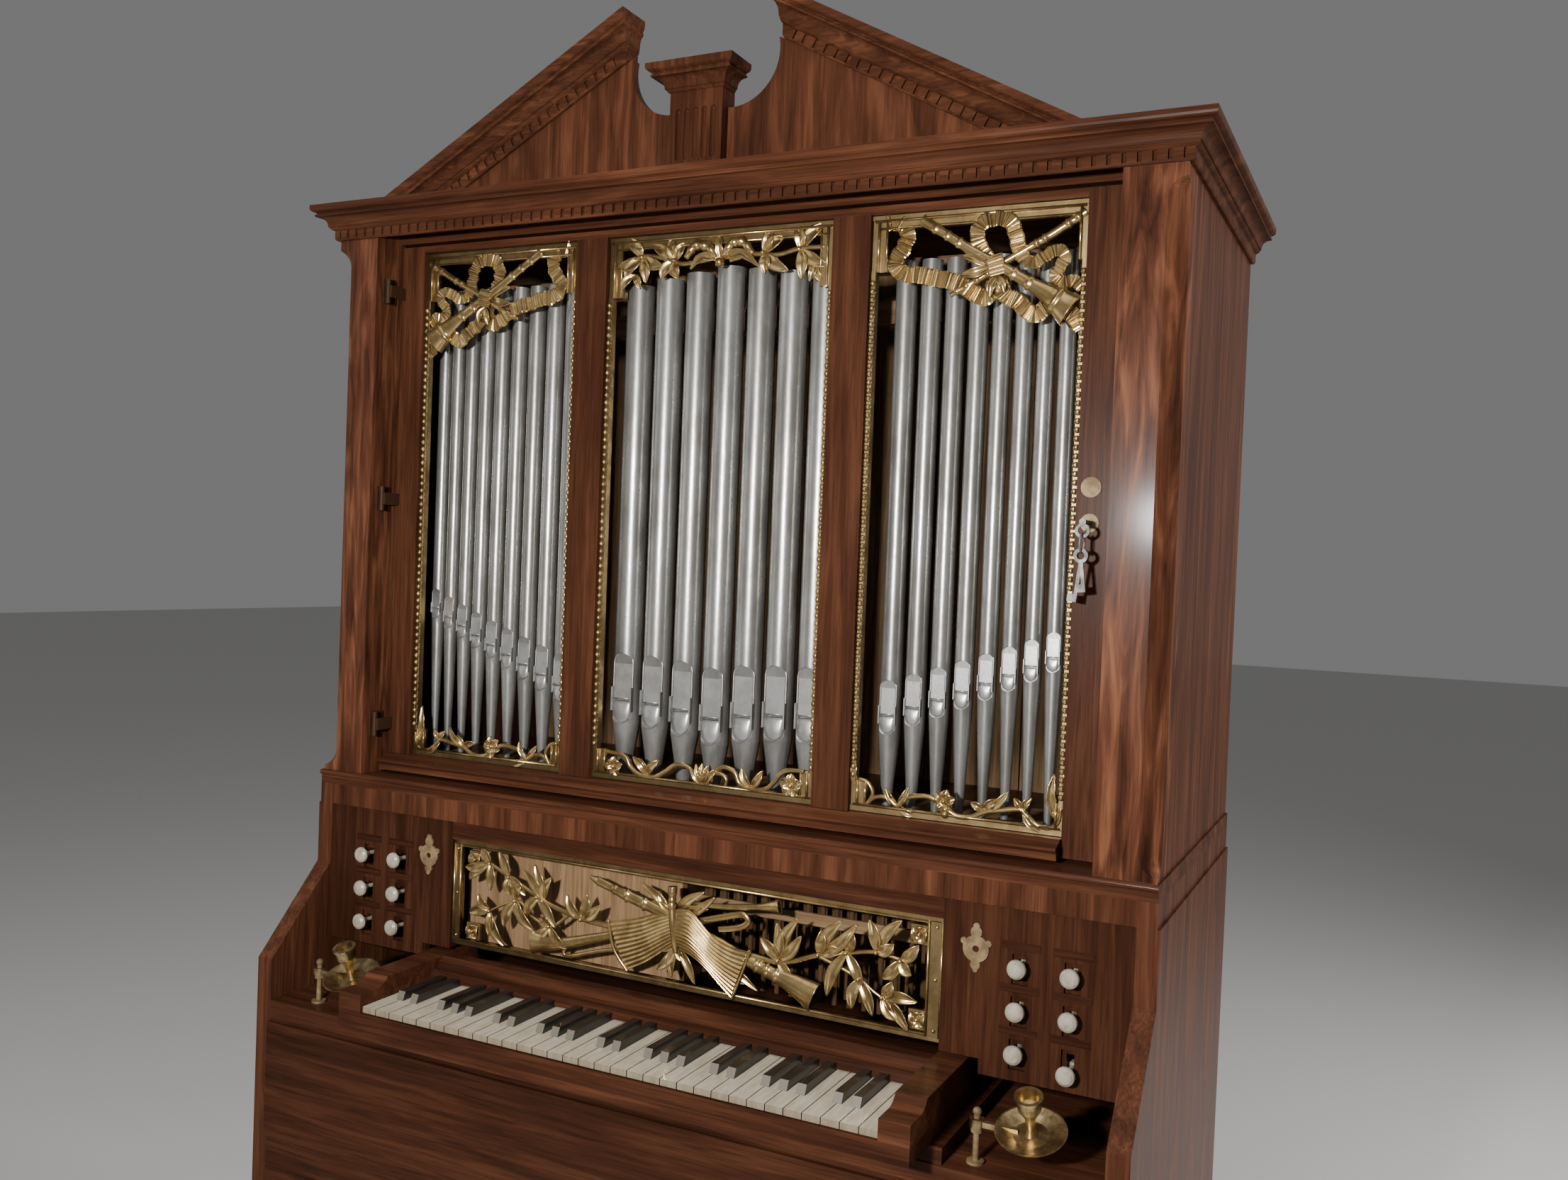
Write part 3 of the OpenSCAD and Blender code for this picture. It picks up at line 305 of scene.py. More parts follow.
DRESS = {
    "upright": ["pedestal", "door_stiles"],
    "upright_post": ["corner_posts"],
    "level": ["desk_floor", "shelf", "key_cheeks", "top_frieze", "cornice", "dentils",
              "door_rails"],
    "level_dark": ["plinth", "lower_front", "lower_front_panel", "key_bed", "desk_top_rail",
                   "key_frame", "nameboard"],
    "frieze": ["bureau_frieze"],
    "side": ["bureau_side_left", "bureau_side_right", "upper_side_left", "upper_side_right"],
    "slope": ["raking_cornices"],
    "tympanum": ["tympanum"],
    "jamb": ["stop_jamb_left", "stop_jamb_right"],
    "pine": ["action"],
    "pine_dark": ["pipe_rack"],
    "pine_back": ["bureau_back", "upper_back"],
    "pine_level": ["bottom_board", "upper_roof", "windchest"],
    "gilt": ["desk_fret", "fret_left", "fret_middle", "fret_right"],
    "brass": ["candle_arm_left", "candle_arm_right"],
    "hinge_brass": ["case_brasses", "door_brasses"],
    "tin": ["pipes_left", "pipes_middle", "pipes_right"],
    "steel": ["lock_key", "spare_keys"],
    "bone": ["naturals"],
    "knob": ["stop_%s_%d" % (side, i) for side, _ in SIDES for i in STOPS],
    "ebony": ["sharps"],
}
for look, names in DRESS.items():
    for node_name in names:
        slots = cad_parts[node_name].data.materials
        slots.clear()
        slots.append(MATERIALS[look])


# Carving: strokes collected into one mesh of closed forms per panel
def catmull(p, i, t):
    """Point at t, from 0 to 1, on the smooth curve between points i and i + 1."""
    a, b = p[i], p[i + 1]
    m0 = (b - p[max(i - 1, 0)]) / 2
    m1 = (p[min(i + 2, len(p) - 1)] - a) / 2
    t2, t3 = t * t, t * t * t
    return (2 * t3 - 3 * t2 + 1) * a + (t3 - 2 * t2 + t) * m0 + (3 * t2 - 2 * t3) * b \
        + (t3 - t2) * m1


def path(points, h, step):
    """Smooth line through points (x, z) or (x, z, h), as samples and their running length."""
    p = [Vector((q[0], q[1], q[2] if len(q) > 2 else h)) for q in points]
    line = []
    for i in range(len(p) - 1):
        n = max(1, int((p[i + 1] - p[i]).length / step))
        line += [catmull(p, i, k / n) for k in range(n)]
    line.append(p[-1])
    run = [0.0]
    for a, b in zip(line, line[1:]):
        run.append(run[-1] + (b - a).length)
    return line, run


def between(stops, t):
    """Value at t on straight pieces between (t, value) stops; a plain number is constant."""
    if isinstance(stops, (int, float)):
        return stops
    for (t0, v0), (t1, v1) in zip(stops, stops[1:]):
        if t <= t1:
            return v0 + (v1 - v0) * (t - t0) / max(t1 - t0, 1e-6)
    return stops[-1][1]


def zigzag(x):
    """Sharp wave from -1 to 1 with period 1."""
    return 4 * abs(x - math.floor(x + 0.5)) - 1


def circle(n):
    """Angles of n points round a circle."""
    return [2 * math.pi * i / n for i in range(n)]


class Carving:
    """Strokes in millimetres: x and z on the panel, h out of it towards the player.

    The panel's lower left corner and its back are at x0, z0 and y0 in metres. With flip, the
    panel's width, x runs from the right.
    """

    def __init__(self, x0, z0, y0, flip=0.0):
        self.bm = bmesh.new()
        self.x0, self.z0, self.y0, self.flip = x0, z0, y0, flip

    def again(self):
        """Another carving on the same panel."""
        return Carving(self.x0, self.z0, self.y0, self.flip)

    def place(self, p):
        x = self.flip - p[0] if self.flip else p[0]
        return Vector((self.x0 + x * MM, self.y0 - p[2] * MM, self.z0 + p[1] * MM))

    def loft(self, rings, smooth=True):
        rows = [[self.bm.verts.new(self.place(p)) for p in ring] for ring in rings]
        for a, b in zip(rows, rows[1:]):
            for i in range(len(a)):
                j = (i + 1) % len(a)
                self.bm.faces.new((a[i], a[j], b[j], b[i])).smooth = smooth
        for end in (rows[0], rows[-1]):
            self.bm.faces.new(end)

    def sweep(self, points, section, h=6.0, step=2.5, smooth=True, mouth=0.0):
        """Skin along a path; section(s, t) gives points across (u) and out (v).

        A mouth is the depth of the hollow in the far end, as in a bell.
        """
        line, run = path(points, h, step)
        rings = []
        for i, c in enumerate(line):
            d = line[min(i + 1, len(line) - 1)] - line[max(i - 1, 0)]
            side = Vector((-d.y, d.x)).normalized()
            ring = section(run[i], run[i] / run[-1])
            rings.append([(c.x + side.x * u, c.y + side.y * u, c.z + v) for u, v in ring])
        if mouth:
            back = (line[-2] - line[-1]).normalized() * mouth
            rim = rings[-1]
            for shrink, deep in ((0.84, 0.0), (0.4, 1.0)):
                rings.append([tuple(line[-1] + (Vector(q) - line[-1]) * shrink + back * deep)
                              for q in rim])
        self.loft(rings, smooth)

    def tube(self, points, r, h=6.0, step=2.5, marks=(), sides=9, flat=0.9, mouth=0.0):
        """Round stroke of radius r (a number or stops); marks are the places of raised rings."""
        length = path(points, h, step)[1][-1]

        def section(s, t):
            q = between(r, t)
            q += 0.3 * q * sum(math.exp(-((t - m) * length / 2.0) ** 2) for m in marks)
            return [(q * math.cos(a), q * flat * math.sin(a)) for a in circle(sides)]
        self.sweep(points, section, h, step, mouth=mouth)

    def ribbon(self, points, w, h=7.0, fold=15.0, amp=2.3, thick=1.6):
        """Ribbon with broad folds and fine flutes across its run."""
        narrow_ends = ((0, 0.8), (0.04, 1), (0.97, 1), (1, 0.8))

        def section(s, t):
            v = amp * zigzag(s / fold) + 0.26 * amp * zigzag(s * 4 / fold + 0.2)
            u = w / 2 * (1 + 0.03 * zigzag(s / fold + 0.25)) * between(narrow_ends, t)
            return [(-u, v - 0.5), (-0.8 * u, v), (0.8 * u, v), (u, v - 0.5),
                    (u, v - 0.5 - thick), (-u, v - 0.5 - thick)]
        self.sweep(points, section, h, fold / 16, smooth=False)

    def leaf(self, base, tip, w, bend=0.0, h=5.0, lift=3.0, lobes=0):
        """Oval leaf with raised rims and a groove along its middle, arched out of the panel."""
        a, b = Vector(base[:2]), Vector(tip[:2])
        side = Vector((a.y - b.y, b.x - a.x))
        mid = (a + b) / 2 + side * bend
        points = [(a.x, a.y, h - 1), (mid.x, mid.y, h + lift), (b.x, b.y, h + 0.2 * lift)]
        # (share of the half width, height) from the edge over the rim to the groove
        rise = ((1, 0.9), (0.87, 1.6), (0.66, 0.9), (0.3, 0.1))
        groove, under = -0.8, -2.0

        def section(s, t):
            u = max(w / 2 * math.sin(math.pi * min(t, 0.985) ** 0.92) ** 0.75, 0.7)
            if lobes:
                u *= 1 - 0.26 * abs(math.sin(math.pi * lobes * t))
            k = min(1.0, u / 4)
            return ([(-share * u, v * k) for share, v in rise] + [(0, groove * k)]
                    + [(share * u, v * k) for share, v in rise[::-1]]
                    + [(0.6 * u, under), (-0.6 * u, under)])
        self.sweep(points, section, h, max(1.8, (b - a).length / 14))

    def spray(self, base, tips, w, bend=0.08, berry=0.0, reach=1.0, within=None, **more):
        """Leaves from one base to their tips, drawn out by reach but kept within a panel."""
        for i, tip in enumerate(tips):
            end = [b + (t - b) * reach for b, t in zip(base, tip)]
            if within:
                end = [min(max(q, 6), edge - 6) for q, edge in zip(end, within)]
            self.leaf(base, end, w, bend if i % 2 else -bend, **more)
        if berry:
            self.dome(base[0], base[1], berry, more.get("h", 5.0) + 1.5)

    def dome(self, x, z, r, h, tall=1.0):
        """Half ball of radius r, seated 1.5 mm below h, with a small flat on its top."""
        rings = []
        for k in range(4):
            a = math.pi / 2 * k / 3.4
            q = r * math.cos(a)
            rings.append([(x + q * math.cos(b), z + q * math.sin(b), h + tall * r * math.sin(a))
                          for b in circle(9)])
        self.loft([[(p[0], p[1], h - 1.5) for p in rings[0]]] + rings)

    def pearls(self, x, z0, z1, r, h, pitch=10.4):
        for i in range(int((z1 - z0) / pitch)):
            self.dome(x, z0 + (i + 0.5) * pitch, r, h, tall=1.05)

    def rosette(self, x, z, r, petals, h, turn=0.3):
        petal_w = 2.1 * r * math.sin(math.pi / petals) * 0.95
        for a in circle(petals):
            tip = (x + r * math.cos(turn + a), z + r * math.sin(turn + a))
            self.leaf((x, z), tip, petal_w, h=h, lift=2.5)
        self.dome(x, z, 0.26 * r, h + 1.5)

    def bar(self, a, b, w, h0, h1, bevel=0.8):
        """Straight strip from a to b with bevelled edges, from h0 out to h1."""
        half = w / 2
        section = [(half, h0), (half, h1 - bevel), (half - bevel, h1), (bevel - half, h1),
                   (-half, h1 - bevel), (-half, h0)]
        self.sweep([a, b], lambda s, t: section, h=0.0, step=math.inf, smooth=False)

    def bead(self, a, b, w, h1, h0=0.0):
        """Straight strip from a to b with a round top."""
        half = w / 2
        section = [(half * math.cos(t), h1 - half * 0.8 + half * 0.8 * math.sin(t))
                   for t in (math.pi * i / 6 for i in range(7))] + [(-half, h0), (half, h0)]
        self.sweep([a, b], lambda s, t: section, h=0.0, step=math.inf)

    def sheet(self, upper, lower, ribs, amp, h, arch, thick=2.0, rows=48, cols=88):
        """Ribbed cloth between two lines."""
        rings = []
        up, low = path(upper, h, 1.0)[0], path(lower, h, 1.0)[0]
        for i in range(rows + 1):
            t = i / rows
            a, b = up[round(t * (len(up) - 1))], low[round(t * (len(low) - 1))]
            front, back = [], []
            for j in range(cols + 1):
                u = j / cols
                p = a + (b - a) * u
                wave = math.cos(2 * math.pi * ribs * u)
                rib = amp * (0.5 + 0.5 * t) * wave
                knots = 0.35 * max(0.0, wave) * zigzag(t * 24)
                v = p.z + rib + knots + arch * math.sin(math.pi * u) * (1 - 0.45 * t)
                front.append((p.x, p.y, v))
                back.append((p.x, p.y, v - thick))
            rings.append(front + back[::-1])
        self.loft(rings)

    def finish(self, name, body, slot, material, *nodes_replaced):
        bmesh.ops.recalc_face_normals(self.bm, faces=self.bm.faces)
        me = bpy.data.meshes.new(name)
        self.bm.to_mesh(me)
        self.bm.free()
        me.materials.append(material)
        ob = bpy.data.objects.new(name, me)
        bpy.context.scene.collection.objects.link(ob)
        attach(ob, body)
        if nodes_replaced:
            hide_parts(*nodes_replaced)


# Gilt frames of the door's fields, in millimetres on the field
def panel_of(node_name, flipped=False):
    """Carving on a fret's box, with the width and the height of the box."""
    lo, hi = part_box(node_name)
    w, top = (hi[0] - lo[0]) / MM, (hi[2] - lo[2]) / MM
    return Carving(lo[0], lo[2], hi[1], w if flipped else 0.0), w, top


def field_frame(name, c, w, top, leg_top, leg_foot):
    """Flat dull strips as a piece of their own, and the bright beads and pearls on c.

    The legs are wide above leg_top and below leg_foot, and a narrow strip with pearls between.
    """
    flat = c.again()
    for right in (False, True):
        def at(x):
            return w - x if right else x
        # outer flat and bead, then the inner ones, which the right field's right legs haven't
        for z0, z1 in ((top - leg_top, top - 7.2), (8, leg_foot)):
            flat.bar((at(4.5), z0), (at(4.5), z1), 9.0, -1, 8.2)
            c.bead((at(9.6), z0), (at(9.6), z1), 3.4, 11.5)
            if name == "right" and right:
                continue
            flat.bar((at(14.5), z0), (at(14.5), min(z1, top - 16.5)), 11.0, 0, 7.4)
            c.bead((at(19.6), z0), (at(19.6), z1), 3.0, 9)
        # narrow strip with its pearls
        flat.bar((at(3.6), leg_foot - 2), (at(3.6), top - leg_top + 2), 7.2, -1, 9.6)
        c.pearls(at(3.6), leg_foot + 2, top - leg_top - 2, r=4.2, h=9.8)
    # head and foot
    flat.bar((0, top - 3.6), (w, top - 3.6), 7.2, -1, 8.4)
    flat.bar((9, top - 12), (w - 9, top - 12), 9.0, 0, 7.6)
    c.bead((4, top - 8), (w - 4, top - 8), 3.6, 11.5)
    c.bead((9, top - 17.4), (w - 9, top - 17.4), 3.0, 9)
    flat.bar((0, 4), (w, 4), 8.0, -1, 8.4)
    c.bead((4, 9.2), (w - 4, 9.2), 3.2, 10)
    flat.finish("strips_" + name, "door", "gilt", MATERIALS["gilt_dull"])


def side_field(name):
    """Flute and horn crossed behind a bow, over a vine; the left field mirrors the right one."""
    c, w, top = panel_of("fret_" + name, flipped=name == "left")
    field_frame(name, c, w, top, leg_top=72, leg_foot=40)
    # ribbon hanging from the corner and across the field
    c.ribbon([(16, 744, 8), (26, 748), (40, 743), (47, 730), (42, 715), (33, 701), (34, 689),
              (47, 681), (65, 679, 9), (86, 674), (104, 670, 9), (122, 663), (138, 652, 6),
              (152, 647), (160, 656, 6), (163, 672, 6)], 21)
    c.ribbon([(167, 670, 6), (176, 649, 8), (192, 640), (203, 629, 9), (214, 623, 6),
              (225, 630, 5), (237, 636, 8), (253, 625), (261, 619), (271, 603, 9)], 20)
    # bow and its tail
    c.ribbon([(161, 684, 6), (146, 703, 8), (139, 722, 11), (146, 737, 12), (166, 741, 12),
              (181, 735, 12), (188, 719, 11), (192, 703, 9), (199, 689, 8)], 19)
    c.ribbon([(199, 689, 8), (212, 685, 10), (226, 693, 9), (240, 698, 11), (249, 690, 12),
              (243, 678, 9), (237, 668, 8), (247, 660, 9), (259, 661), (270, 652)], 15)
    # flute behind, horn before it
    c.tube([(272, 742), (246, 727), (223, 714), (168, 686), (153, 676), (106, 652)],
           [(0, 6.5), (0.1, 5.4), (0.92, 4.2), (1, 3.0)], h=5, step=1.6,
           marks=(0.06, 0.13, 0.3, 0.36, 0.72, 0.8, 0.88, 0.95))
    c.tube([(66, 747), (104, 723), (139, 701), (195, 668), (223, 651), (238, 641), (259, 625)],
           [(0, 7.2), (0.06, 6.6), (0.16, 5.6), (0.6, 7.0), (0.74, 8.0), (0.86, 13), (0.94, 18),
            (1, 22)], h=9, step=1.6, marks=(0.1, 0.18, 0.26, 0.62, 0.72, 0.9), flat=0.5, sides=14,
           mouth=10)
    c.spray((156, 684), [(121, 699), (120, 676)], 14, h=8)
    c.ribbon([(161, 697, 12), (164, 686, 14), (167, 672, 12)], 22, fold=9.0, amp=1.0)
    c.spray((166, 672), [(158, 646), (176, 650)], 11, h=9)
    # vine at the foot
    vine = [(10, 41), (19, 40), (27, 33), (30, 23), (24, 12), (22, 9), (30, 18), (41, 22), (53, 20),
            (64, 13), (74, 23), (89, 28), (110, 28), (135, 13), (147, 9), (163, 11), (179, 19),
            (203, 24), (223, 27), (229, 22), (245, 10), (261, 9), (270, 18), (272, 34)]
    c.tube(vine, [(0, 2.6), (0.5, 3.6), (1, 2.8)], h=7)
    c.rosette(126, 26, 15, petals=6, h=8)
    c.dome(128, 10, 6, 7)
    c.spray((64, 13), [(90, 3), (47, 34), (78, 38)], 10, h=6)
    c.spray((177, 19), [(207, 47), (193, 36), (160, 28)], 11, h=7)
    c.spray((225, 25), [(250, 2), (236, 42), (214, 40)], 10, h=7)
    c.leaf((272, 14), (262, 74), 15, 0.12, h=6, lobes=4)
    c.leaf((272, 34), (275, 92), 12, -0.08, h=6, lobes=4)
    c.leaf((8, 30), (6, 66), 11, 0.1, h=6, lobes=3)
    c.finish("carving_" + name, "door", "gilt", MATERIALS["gilt"], "fret_" + name)


def middle_field():
    """Acanthus between leafy stems, over a vine."""
    c, w, top = panel_of("fret_middle")
    field_frame("middle", c, w, top, leg_top=84, leg_foot=42)
    # acanthus fan with a scroll on each side
    for tip, leaf_w, bend in (((174, 754), 15, 0), ((158, 748), 12, 0.15), ((191, 749), 12, -0.15),
                              ((129, 707), 15, -0.22), ((236, 703), 15, 0.22)):
        c.leaf((175, 717), tip, leaf_w, bend, h=6, lift=4, lobes=3)
    for scroll in ([(169, 720), (158, 734), (138, 738), (123, 722)],
                   [(181, 722), (194, 737), (210, 738), (225, 722)]):
        c.tube(scroll, [(0, 4), (0.5, 7), (1, 4.5)], h=8, step=2, marks=(0.2, 0.4, 0.6, 0.8))
    c.dome(176, 713, 7, 8)
    # leafy stems to both corners
    c.tube([(161, 719), (121, 715), (103, 719), (80, 726), (52, 729), (15, 718)], 3.2)
    c.tube([(190, 716), (228, 721), (261, 718), (294, 724), (330, 724)], 3.2)
    sprays = [((104, 720), [(72, 740), (100, 749), (85, 699), (120, 740), (110, 698)]),
              ((52, 728), [(31, 752), (15, 716), (84, 714), (58, 696), (27, 704)]),
              ((240, 722), [(249, 752), (268, 738), (274, 699), (243, 697)]),
              ((294, 723), [(290, 752), (326, 750), (330, 702), (297, 688)])]
    for base, tips in sprays:
        c.spray(base, tips, 18, reach=1.12, berry=3.5, h=6)
    c.spray((40, 705), [(18, 683), (50, 684)], 13, h=6)
    c.spray((316, 706), [(327, 679), (309, 680)], 12, h=6)
    # vine and rosettes at the foot
    c.rosette(36, 19, 14, petals=5, h=8)
    c.rosette(312, 22, 16, petals=5, h=8)
    c.tube([(19, 39), (52, 35), (63, 21), (77, 12), (100, 10), (118, 19), (133, 30), (148, 32),
            (161, 26), (170, 8)], [(0, 3), (0.5, 3.8), (1, 2.6)], h=7)
    c.tube([(184, 9), (193, 24), (206, 26), (215, 20), (214, 10)], [(0, 3.6), (1, 2.6)], h=7)
    c.tube([(192, 14), (198, 30), (213, 36), (228, 30), (235, 17), (252, 11), (274, 13), (287, 24),
            (296, 36), (310, 42), (330, 42)], [(0, 2.6), (0.5, 3.8), (1, 3)], h=7)
    c.spray((179, 8), [(160, 30), (168, 36), (178, 38), (188, 36), (200, 32)], 11, 0, h=8)
    c.spray((90, 12), [(76, 35), (108, 34), (66, 36)], 12, h=7)
    c.spray((252, 12), [(269, 37), (238, 38)], 12, h=7)
    c.finish("carving_middle", "door", "gilt", MATERIALS["gilt"], "fret_middle")


# Gilt panel over the keys: shawm and trumpet crossed on a cloth between laurel branches
def desk_frame(c, w):
    """Flat dull border as a piece of its own, with beads, nails and the corners' rosettes on c."""
    flat = c.again()
    for a, b, width in (((6.5, 7), (6.5, 146), 13), ((w - 9, 7), (w - 9, 146), 18),
                        ((0, 149.5), (w, 149.5), 7), ((0, 3.5), (w, 3.5), 7)):
        flat.bar(a, b, width, 0, 7, bevel=1.0)
    flat.finish("strips_desk", "case", "gilt", MATERIALS["gilt_dull"])
    for x in (13, 2, w - 19, w - 1.6):
        c.bead((x, 6), (x, 147), 3.2, 9.5)
    for z in (145, 8):
        c.bead((12, z), (w - 18, z), 3.2, 9.5)
    # nails
    for z in (14, 76, 140):
        c.dome(w - 9, z, 2.8, 7)
        c.dome(7.5, z, 2.2, 7)
    # rosettes on blocks in the corners
    for x, z in ((37, 127), (36, 23), (716, 127), (717, 23)):
        c.bar((x, z - 12), (x, z + 12), 24, 0, 5)
        c.rosette(x, z, 12, petals=4, h=6, turn=0.78)


def laurel(c, w, top):
    """Branches on both sides, their leaves kept within the panel."""
    stems = [([(272, 68), (235, 70), (203, 75), (168, 84), (109, 108), (54, 131)], 4.2),
             ([(205, 74), (174, 52), (140, 62), (115, 79), (60, 54)], 2.8),
             ([(470, 66), (490, 64), (535, 63), (583, 80), (625, 90), (662, 97), (700, 92)], 4.2),
             ([(583, 80), (621, 68), (645, 58), (664, 46), (700, 30)], 2.8)]
    for points, r in stems:
        c.tube(points, [(0, r), (1, 0.6 * r)], h=8)
    sprays = [((225, 70), [(233, 98), (206, 94), (250, 89)]),
              ((160, 86), [(148, 124), (170, 113), (134, 116)]),
              ((150, 90), [(136, 66), (176, 60)]),
              ((100, 111), [(86, 138), (124, 94), (103, 92)]),
              ((66, 126), [(38, 104), (68, 96), (54, 141), (32, 118)]),
              ((172, 52), [(196, 32), (150, 34), (160, 60)]),
              ((112, 79), [(140, 50), (120, 60), (98, 48), (120, 100)]),
              ((68, 58), [(40, 52), (68, 30), (90, 22), (52, 74)]),
              ((528, 64), [(526, 102), (549, 110), (553, 93), (545, 42), (508, 84)]),
              ((584, 81), [(587, 106), (608, 118), (624, 117), (611, 89)]),
              ((622, 90), [(603, 44), (640, 58), (628, 112)]),
              ((662, 97), [(654, 128), (687, 132), (680, 108)]),
              ((694, 92), [(712, 110), (676, 72), (706, 80)]),
              ((640, 60), [(634, 30), (656, 27)]),
              ((672, 43), [(682, 60), (708, 45), (688, 24), (700, 16)])]
    for base, tips in sprays:
        c.spray(base, tips, 16.5, berry=3.2, reach=1.28, within=(w, top), h=9)


def instruments(c):
    """Shawm and trumpet, crossed."""
    # shawm from the upper left to the lower right
    c.tube([(236, 130, 6), (290, 116, 8), (349, 101, 9), (430, 76, 9), (500, 53, 10),
            (552, 38, 10), (582, 27, 10)],
           [(0, 2.5), (0.04, 6.5), (0.12, 6), (0.16, 8), (0.7, 8), (0.84, 9), (0.93, 15), (1, 20)],
           step=1.6, marks=(0.12, 0.18, 0.26, 0.76, 0.8, 0.84), flat=0.6, sides=14, mouth=9)
    # trumpet from the lower left, with its loop and second bell on the right
    c.tube([(146, 27, 8), (170, 28, 8), (200, 33, 7), (262, 52, 7), (330, 74, 7), (400, 93, 7),
            (462, 112, 7), (476, 114, 7), (482, 106, 7), (470, 97, 7), (440, 90, 7)],
           [(0, 18), (0.04, 12), (0.12, 8.5), (0.3, 6), (1, 4)], step=1.8, flat=0.6, sides=14)
    c.tube([(205, 30, 5), (196, 22, 5), (204, 15, 5), (262, 32, 5), (320, 44, 5)], 3.2, step=1.8)
    c.tube([(400, 118, 6), (440, 120, 7), (490, 127, 8), (528, 134, 9)],
           [(0, 3.6), (0.75, 4.4), (0.92, 7.5), (1, 10.5)], step=1.8, flat=0.7, mouth=5)


def cloth(c):
    """Cloth gathered by a tie, with leaves behind it."""
    # leaves behind the tie
    c.spray((372, 96), [(321, 134), (348, 128), (336, 112), (417, 136), (433, 131), (424, 114)],
            14, h=8)
    c.spray((378, 58), [(330, 42), (349, 22), (392, 40), (408, 12), (372, 16), (338, 58)], 14, h=8)
    c.spray((446, 44), [(491, 28), (501, 20), (470, 16)], 12, h=8)
    # the cloth on both sides of its tie, with its hems
    c.sheet([(368, 106), (345, 98), (316, 87), (272, 76)],
            [(374, 60), (350, 42), (330, 28), (303, 14)], ribs=11, amp=0.8, h=12, arch=4)
    c.sheet([(378, 109), (402, 109), (433, 84), (462, 73), (489, 71)],
            [(380, 58), (402, 52), (424, 40), (446, 22), (466, 6)], ribs=11, amp=0.9, h=15, arch=8)
    c.tube([(272, 78, 13), (283, 40, 13), (305, 13, 12)], 2.6, step=2)
    c.tube([(490, 73, 14), (479, 40, 14), (465, 5, 13)], 2.6, step=2)
    c.tube([(372, 138, 14), (374, 112, 17), (378, 84, 19), (382, 52, 17)],
           [(0, 6.5), (0.1, 6.5), (0.16, 4.5), (0.5, 5.5), (0.9, 4.5), (1, 3.5)], step=2,
           marks=(0.2, 0.28))


def desk_panel():
    c, w, top = panel_of("desk_fret")
    desk_frame(c, w)
    laurel(c, w, top)
    instruments(c)
    cloth(c)
    c.finish("carving_desk", "case", "gilt", MATERIALS["gilt"], "desk_fret")


# Rail behind the gilt panel: its back in metres, the rest in millimetres, up from the keys
RAIL_BACK = 0.017
RAIL_LEFT, RAIL_UP, RAIL_W, RAIL_THICK = -3.5, 148, 16, 5


def action_rail():
    """Rail before the upper ends of the rods, as far to the right as the action goes."""
    c = Carving(0.0, KEY_Z, RAIL_BACK)
    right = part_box("action")[1][0] / MM - 0.5
    c.bar((RAIL_LEFT, RAIL_UP), (right, RAIL_UP), RAIL_W, 0, RAIL_THICK, bevel=0.6)
    c.finish("action_rail", "case", "pine", MATERIALS["pine_rail"])


# Lips, ears and rims of the pipes' mouths
def mouth_parts(c, x, r, z0, h):
    """Mouth of height h on a pipe of radius r at x; its lower lip starts at z0, in millimetres."""
    # sizes as the source cuts them: the flat's width and depth, and the height of the slit
    half = 0.78 * r
    flat = 0.6 * r
    slit = z0 + 0.31 * h
    top = z0 + h
    # line round the arched upper lip
    rise = 0.84 * half
    arch = [(x - half * math.cos(a), top - rise + rise * math.sin(a))
            for a in (math.pi * i / 8 for i in range(9))]
    c.tube([(x - half, slit + 2)] + arch + [(x + half, slit + 2)], 0.055 * r,
           h=flat + 0.02 * r, step=3, sides=6)
    # upper lip, a little proud, bent in at its lower edge
    lip = slit + 0.2 * r
    c.bar((x, lip), (x, top - half), 1.8 * half, flat - 1.5, flat + 0.05 * r, bevel=0.6)
    c.bead((x - half + 1, lip), (x + half - 1, lip), 1.6, flat + 0.1 * r, flat - 2)
    # bulged lower lip
    foot = z0 - 1
    rings = []
    for k in range(9):
        t = k / 8
        z = foot + (slit - foot) * t
        wide = half * math.sqrt(max(0.0, 1 - (1 - min(1.0, t * 1.6)) ** 2)) * 0.96 + 0.3
        out = flat - 0.5 + 0.16 * r * math.sin(math.pi * min(1.0, 0.15 + 0.85 * t)) + 0.05 * r * t
        rings.append([(x - wide, z, flat - 3), (x - wide, z, flat + 0.1), (x - 0.55 * wide, z, out),
                      (x, z, out + 0.25), (x + 0.55 * wide, z, out), (x + wide, z, flat + 0.1),
                      (x + wide, z, flat - 3)])
    c.loft(rings)
    # ears
    for _, side in SIDES:
        ear_x = x + side * (half + 0.2)
        c.bar((ear_x, slit - 0.14 * h), (ear_x, slit + 0.2 * h), 0.09 * r + 0.5, flat - 2,
              flat + 0.3 * r, bevel=0.4)


# Pipes as the source places them, in millimetres
MIDDLE_PIPES, MIDDLE_R, MIDDLE_PITCH = 7, 20, 48.4
SIDE_PIPES, SIDE_R, SIDE_PITCH = 9, 14, 34
SIDE_SHRINK = 0.036
SIDE_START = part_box("fret_right")[0][0] / MM + 33


def middle_mouth(k):
    """Foot and height of the mouth k pipes from the middle one."""
    return CHEST_TOP + 70 + 9.6 * k - 1.35 * k * k, 106 - 2 * k


def side_mouth(i):
    """Foot and height of mouth i of a side field, counted outwards."""
    return CHEST_TOP + 109 + 13.6 * i, 69 - 3 * i


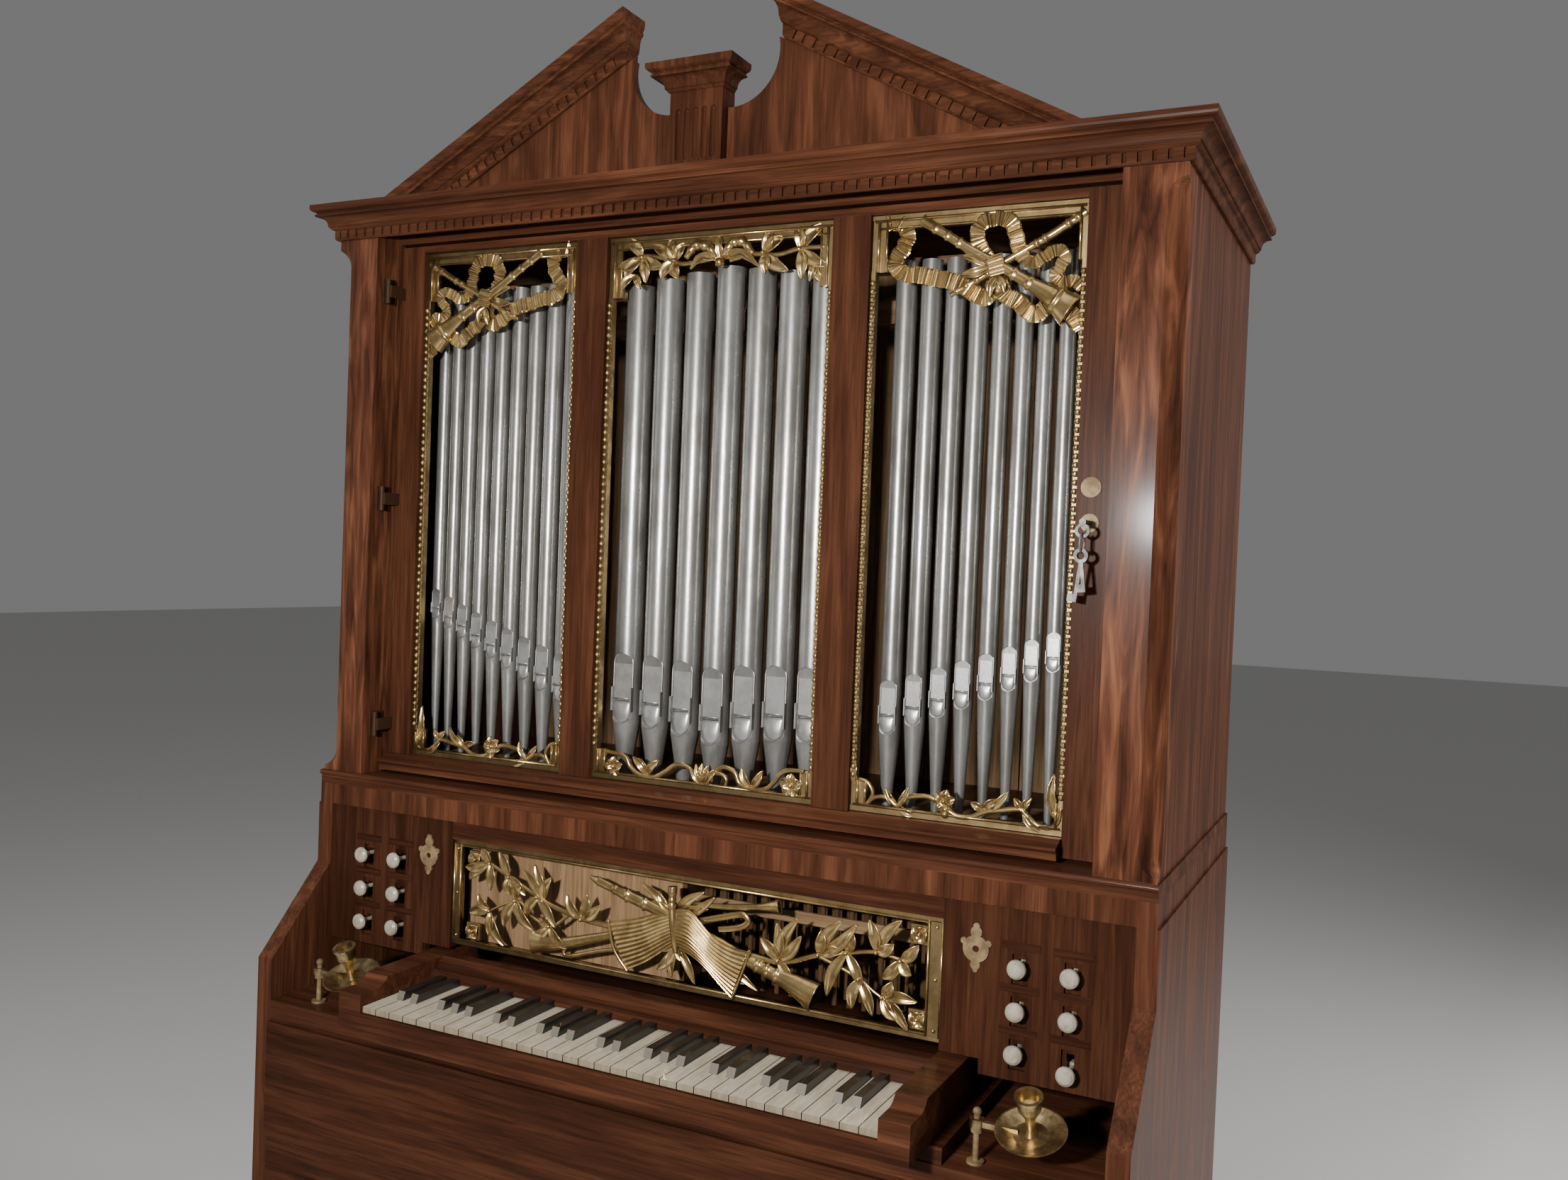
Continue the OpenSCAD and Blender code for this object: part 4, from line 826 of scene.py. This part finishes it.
def pipe_mouths():
    c = Carving(0.0, SHELF_Z, PIPE_Y)
    for i in range(MIDDLE_PIPES):
        off = i - MIDDLE_PIPES // 2
        mouth_parts(c, off * MIDDLE_PITCH, MIDDLE_R, *middle_mouth(abs(off)))
    c.finish("mouths_middle", "case", "tin", MATERIALS["lip"])
    for name, side in SIDES:
        c = Carving(0.0, SHELF_Z, PIPE_Y)
        x = SIDE_START
        for i in range(SIDE_PIPES):
            size = 1 - SIDE_SHRINK * i
            mouth_parts(c, side * x, SIDE_R * size, *side_mouth(i))
            x += SIDE_PITCH * size
        c.finish("mouths_" + name, "case", "tin", MATERIALS["lip"])


# Bare name strips over the stops, in millimetres
STRIP_W, STRIP_H, STRIP_UP = 46, 9, 23
# One stop is drawn down by its travel, and its strip is as high as if it weren't
DRAWN_STOP = ("right", 6)
STOP_TRAVEL = 12


def name_strips():
    for side, _ in SIDES:
        c = Carving(0.0, 0.0, JAMB_Y)
        for i in STOPS:
            lo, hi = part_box("stop_%s_%d" % (side, i))
            x = (lo[0] + hi[0]) / 2 / MM
            z = (lo[2] + hi[2]) / 2 / MM + STRIP_UP
            if (side, i) == DRAWN_STOP:
                z += STOP_TRAVEL
            c.bar((x - STRIP_W / 2, z), (x + STRIP_W / 2, z), STRIP_H, -0.5, 1.2, 0.5)
        c.finish("name_strips_" + side, "case", "mahogany", MATERIALS["strip"])


# Stage, light and camera
def floor():
    bm = bmesh.new()
    bmesh.ops.create_grid(bm, x_segments=1, y_segments=1, size=20)
    me = bpy.data.meshes.new("floor")
    bm.to_mesh(me)
    bm.free()
    ob = bpy.data.objects.new("floor", me)
    pale = Shader("pale_floor")
    pale.set(Base_Color=(0.62, 0.61, 0.59), Roughness=0.8)
    me.materials.append(pale.material)
    bpy.context.scene.collection.objects.link(ob)


def area(name, at, look, size, power):
    """Soft light of a size in metres and a power in watts, turned towards the point look."""
    data = bpy.data.lights.new(name, "AREA")
    data.shape = "RECTANGLE"
    data.size, data.size_y = size
    data.energy = power
    ob = bpy.data.objects.new(name, data)
    ob.location = at
    ob.rotation_euler = (Vector(look) - Vector(at)).to_track_quat("-Z", "Y").to_euler()
    bpy.context.scene.collection.objects.link(ob)


def studio():
    """A small key light by the camera, as the photograph's, and soft fill lights."""
    area("key", at=(0.30, -1.85, 1.49), look=(0.0, 0.0, 1.35), size=(0.13, 0.08), power=60)
    area("overhead", at=(0.4, -1.0, 3.6), look=(0.1, 0.1, 1.0), size=(3.0, 2.4), power=26)
    area("fill_left", at=(-3.2, -1.6, 1.8), look=(0, 0, 1.2), size=(2.0, 2.4), power=14)
    area("fill_right", at=(3.1, 1.5, 1.9), look=(0.6, 0.2, 1.2), size=(1.6, 2.4), power=130)
    world = bpy.data.worlds.new("studio")
    world.use_nodes = True
    background = world.node_tree.nodes["Background"].inputs
    background["Color"].default_value = (0.36, 0.36, 0.365, 1)
    background["Strength"].default_value = 0.5
    bpy.context.scene.world = world


def camera():
    """The photograph's view, fitted to the case's corners."""
    focal_px, width_px = 1875.2, 2212
    yaw, pitch, roll = 0.4574, -0.0228, 0.0388
    at = (0.8881, -1.5560, KEY_Z + 0.6154)
    forward = Vector((-math.sin(yaw) * math.cos(pitch), math.cos(yaw) * math.cos(pitch),
                      math.sin(pitch)))
    level = Vector((math.cos(yaw), math.sin(yaw), 0))
    up = level.cross(forward)
    c, s = math.cos(roll), math.sin(roll)
    data = bpy.data.cameras.new("camera")
    data.sensor_width = 36
    data.sensor_fit = "HORIZONTAL"
    data.lens = data.sensor_width * focal_px / width_px
    ob = bpy.data.objects.new("camera", data)
    turned = Matrix((c * level + s * up, -s * level + c * up, -forward)).transposed().to_4x4()
    turned.translation = at
    ob.matrix_world = turned
    bpy.context.scene.collection.objects.link(ob)
    bpy.context.scene.camera = ob


action_rail()
side_field("right")
side_field("left")
middle_field()
desk_panel()
pipe_mouths()
name_strips()
floor()
studio()
camera()
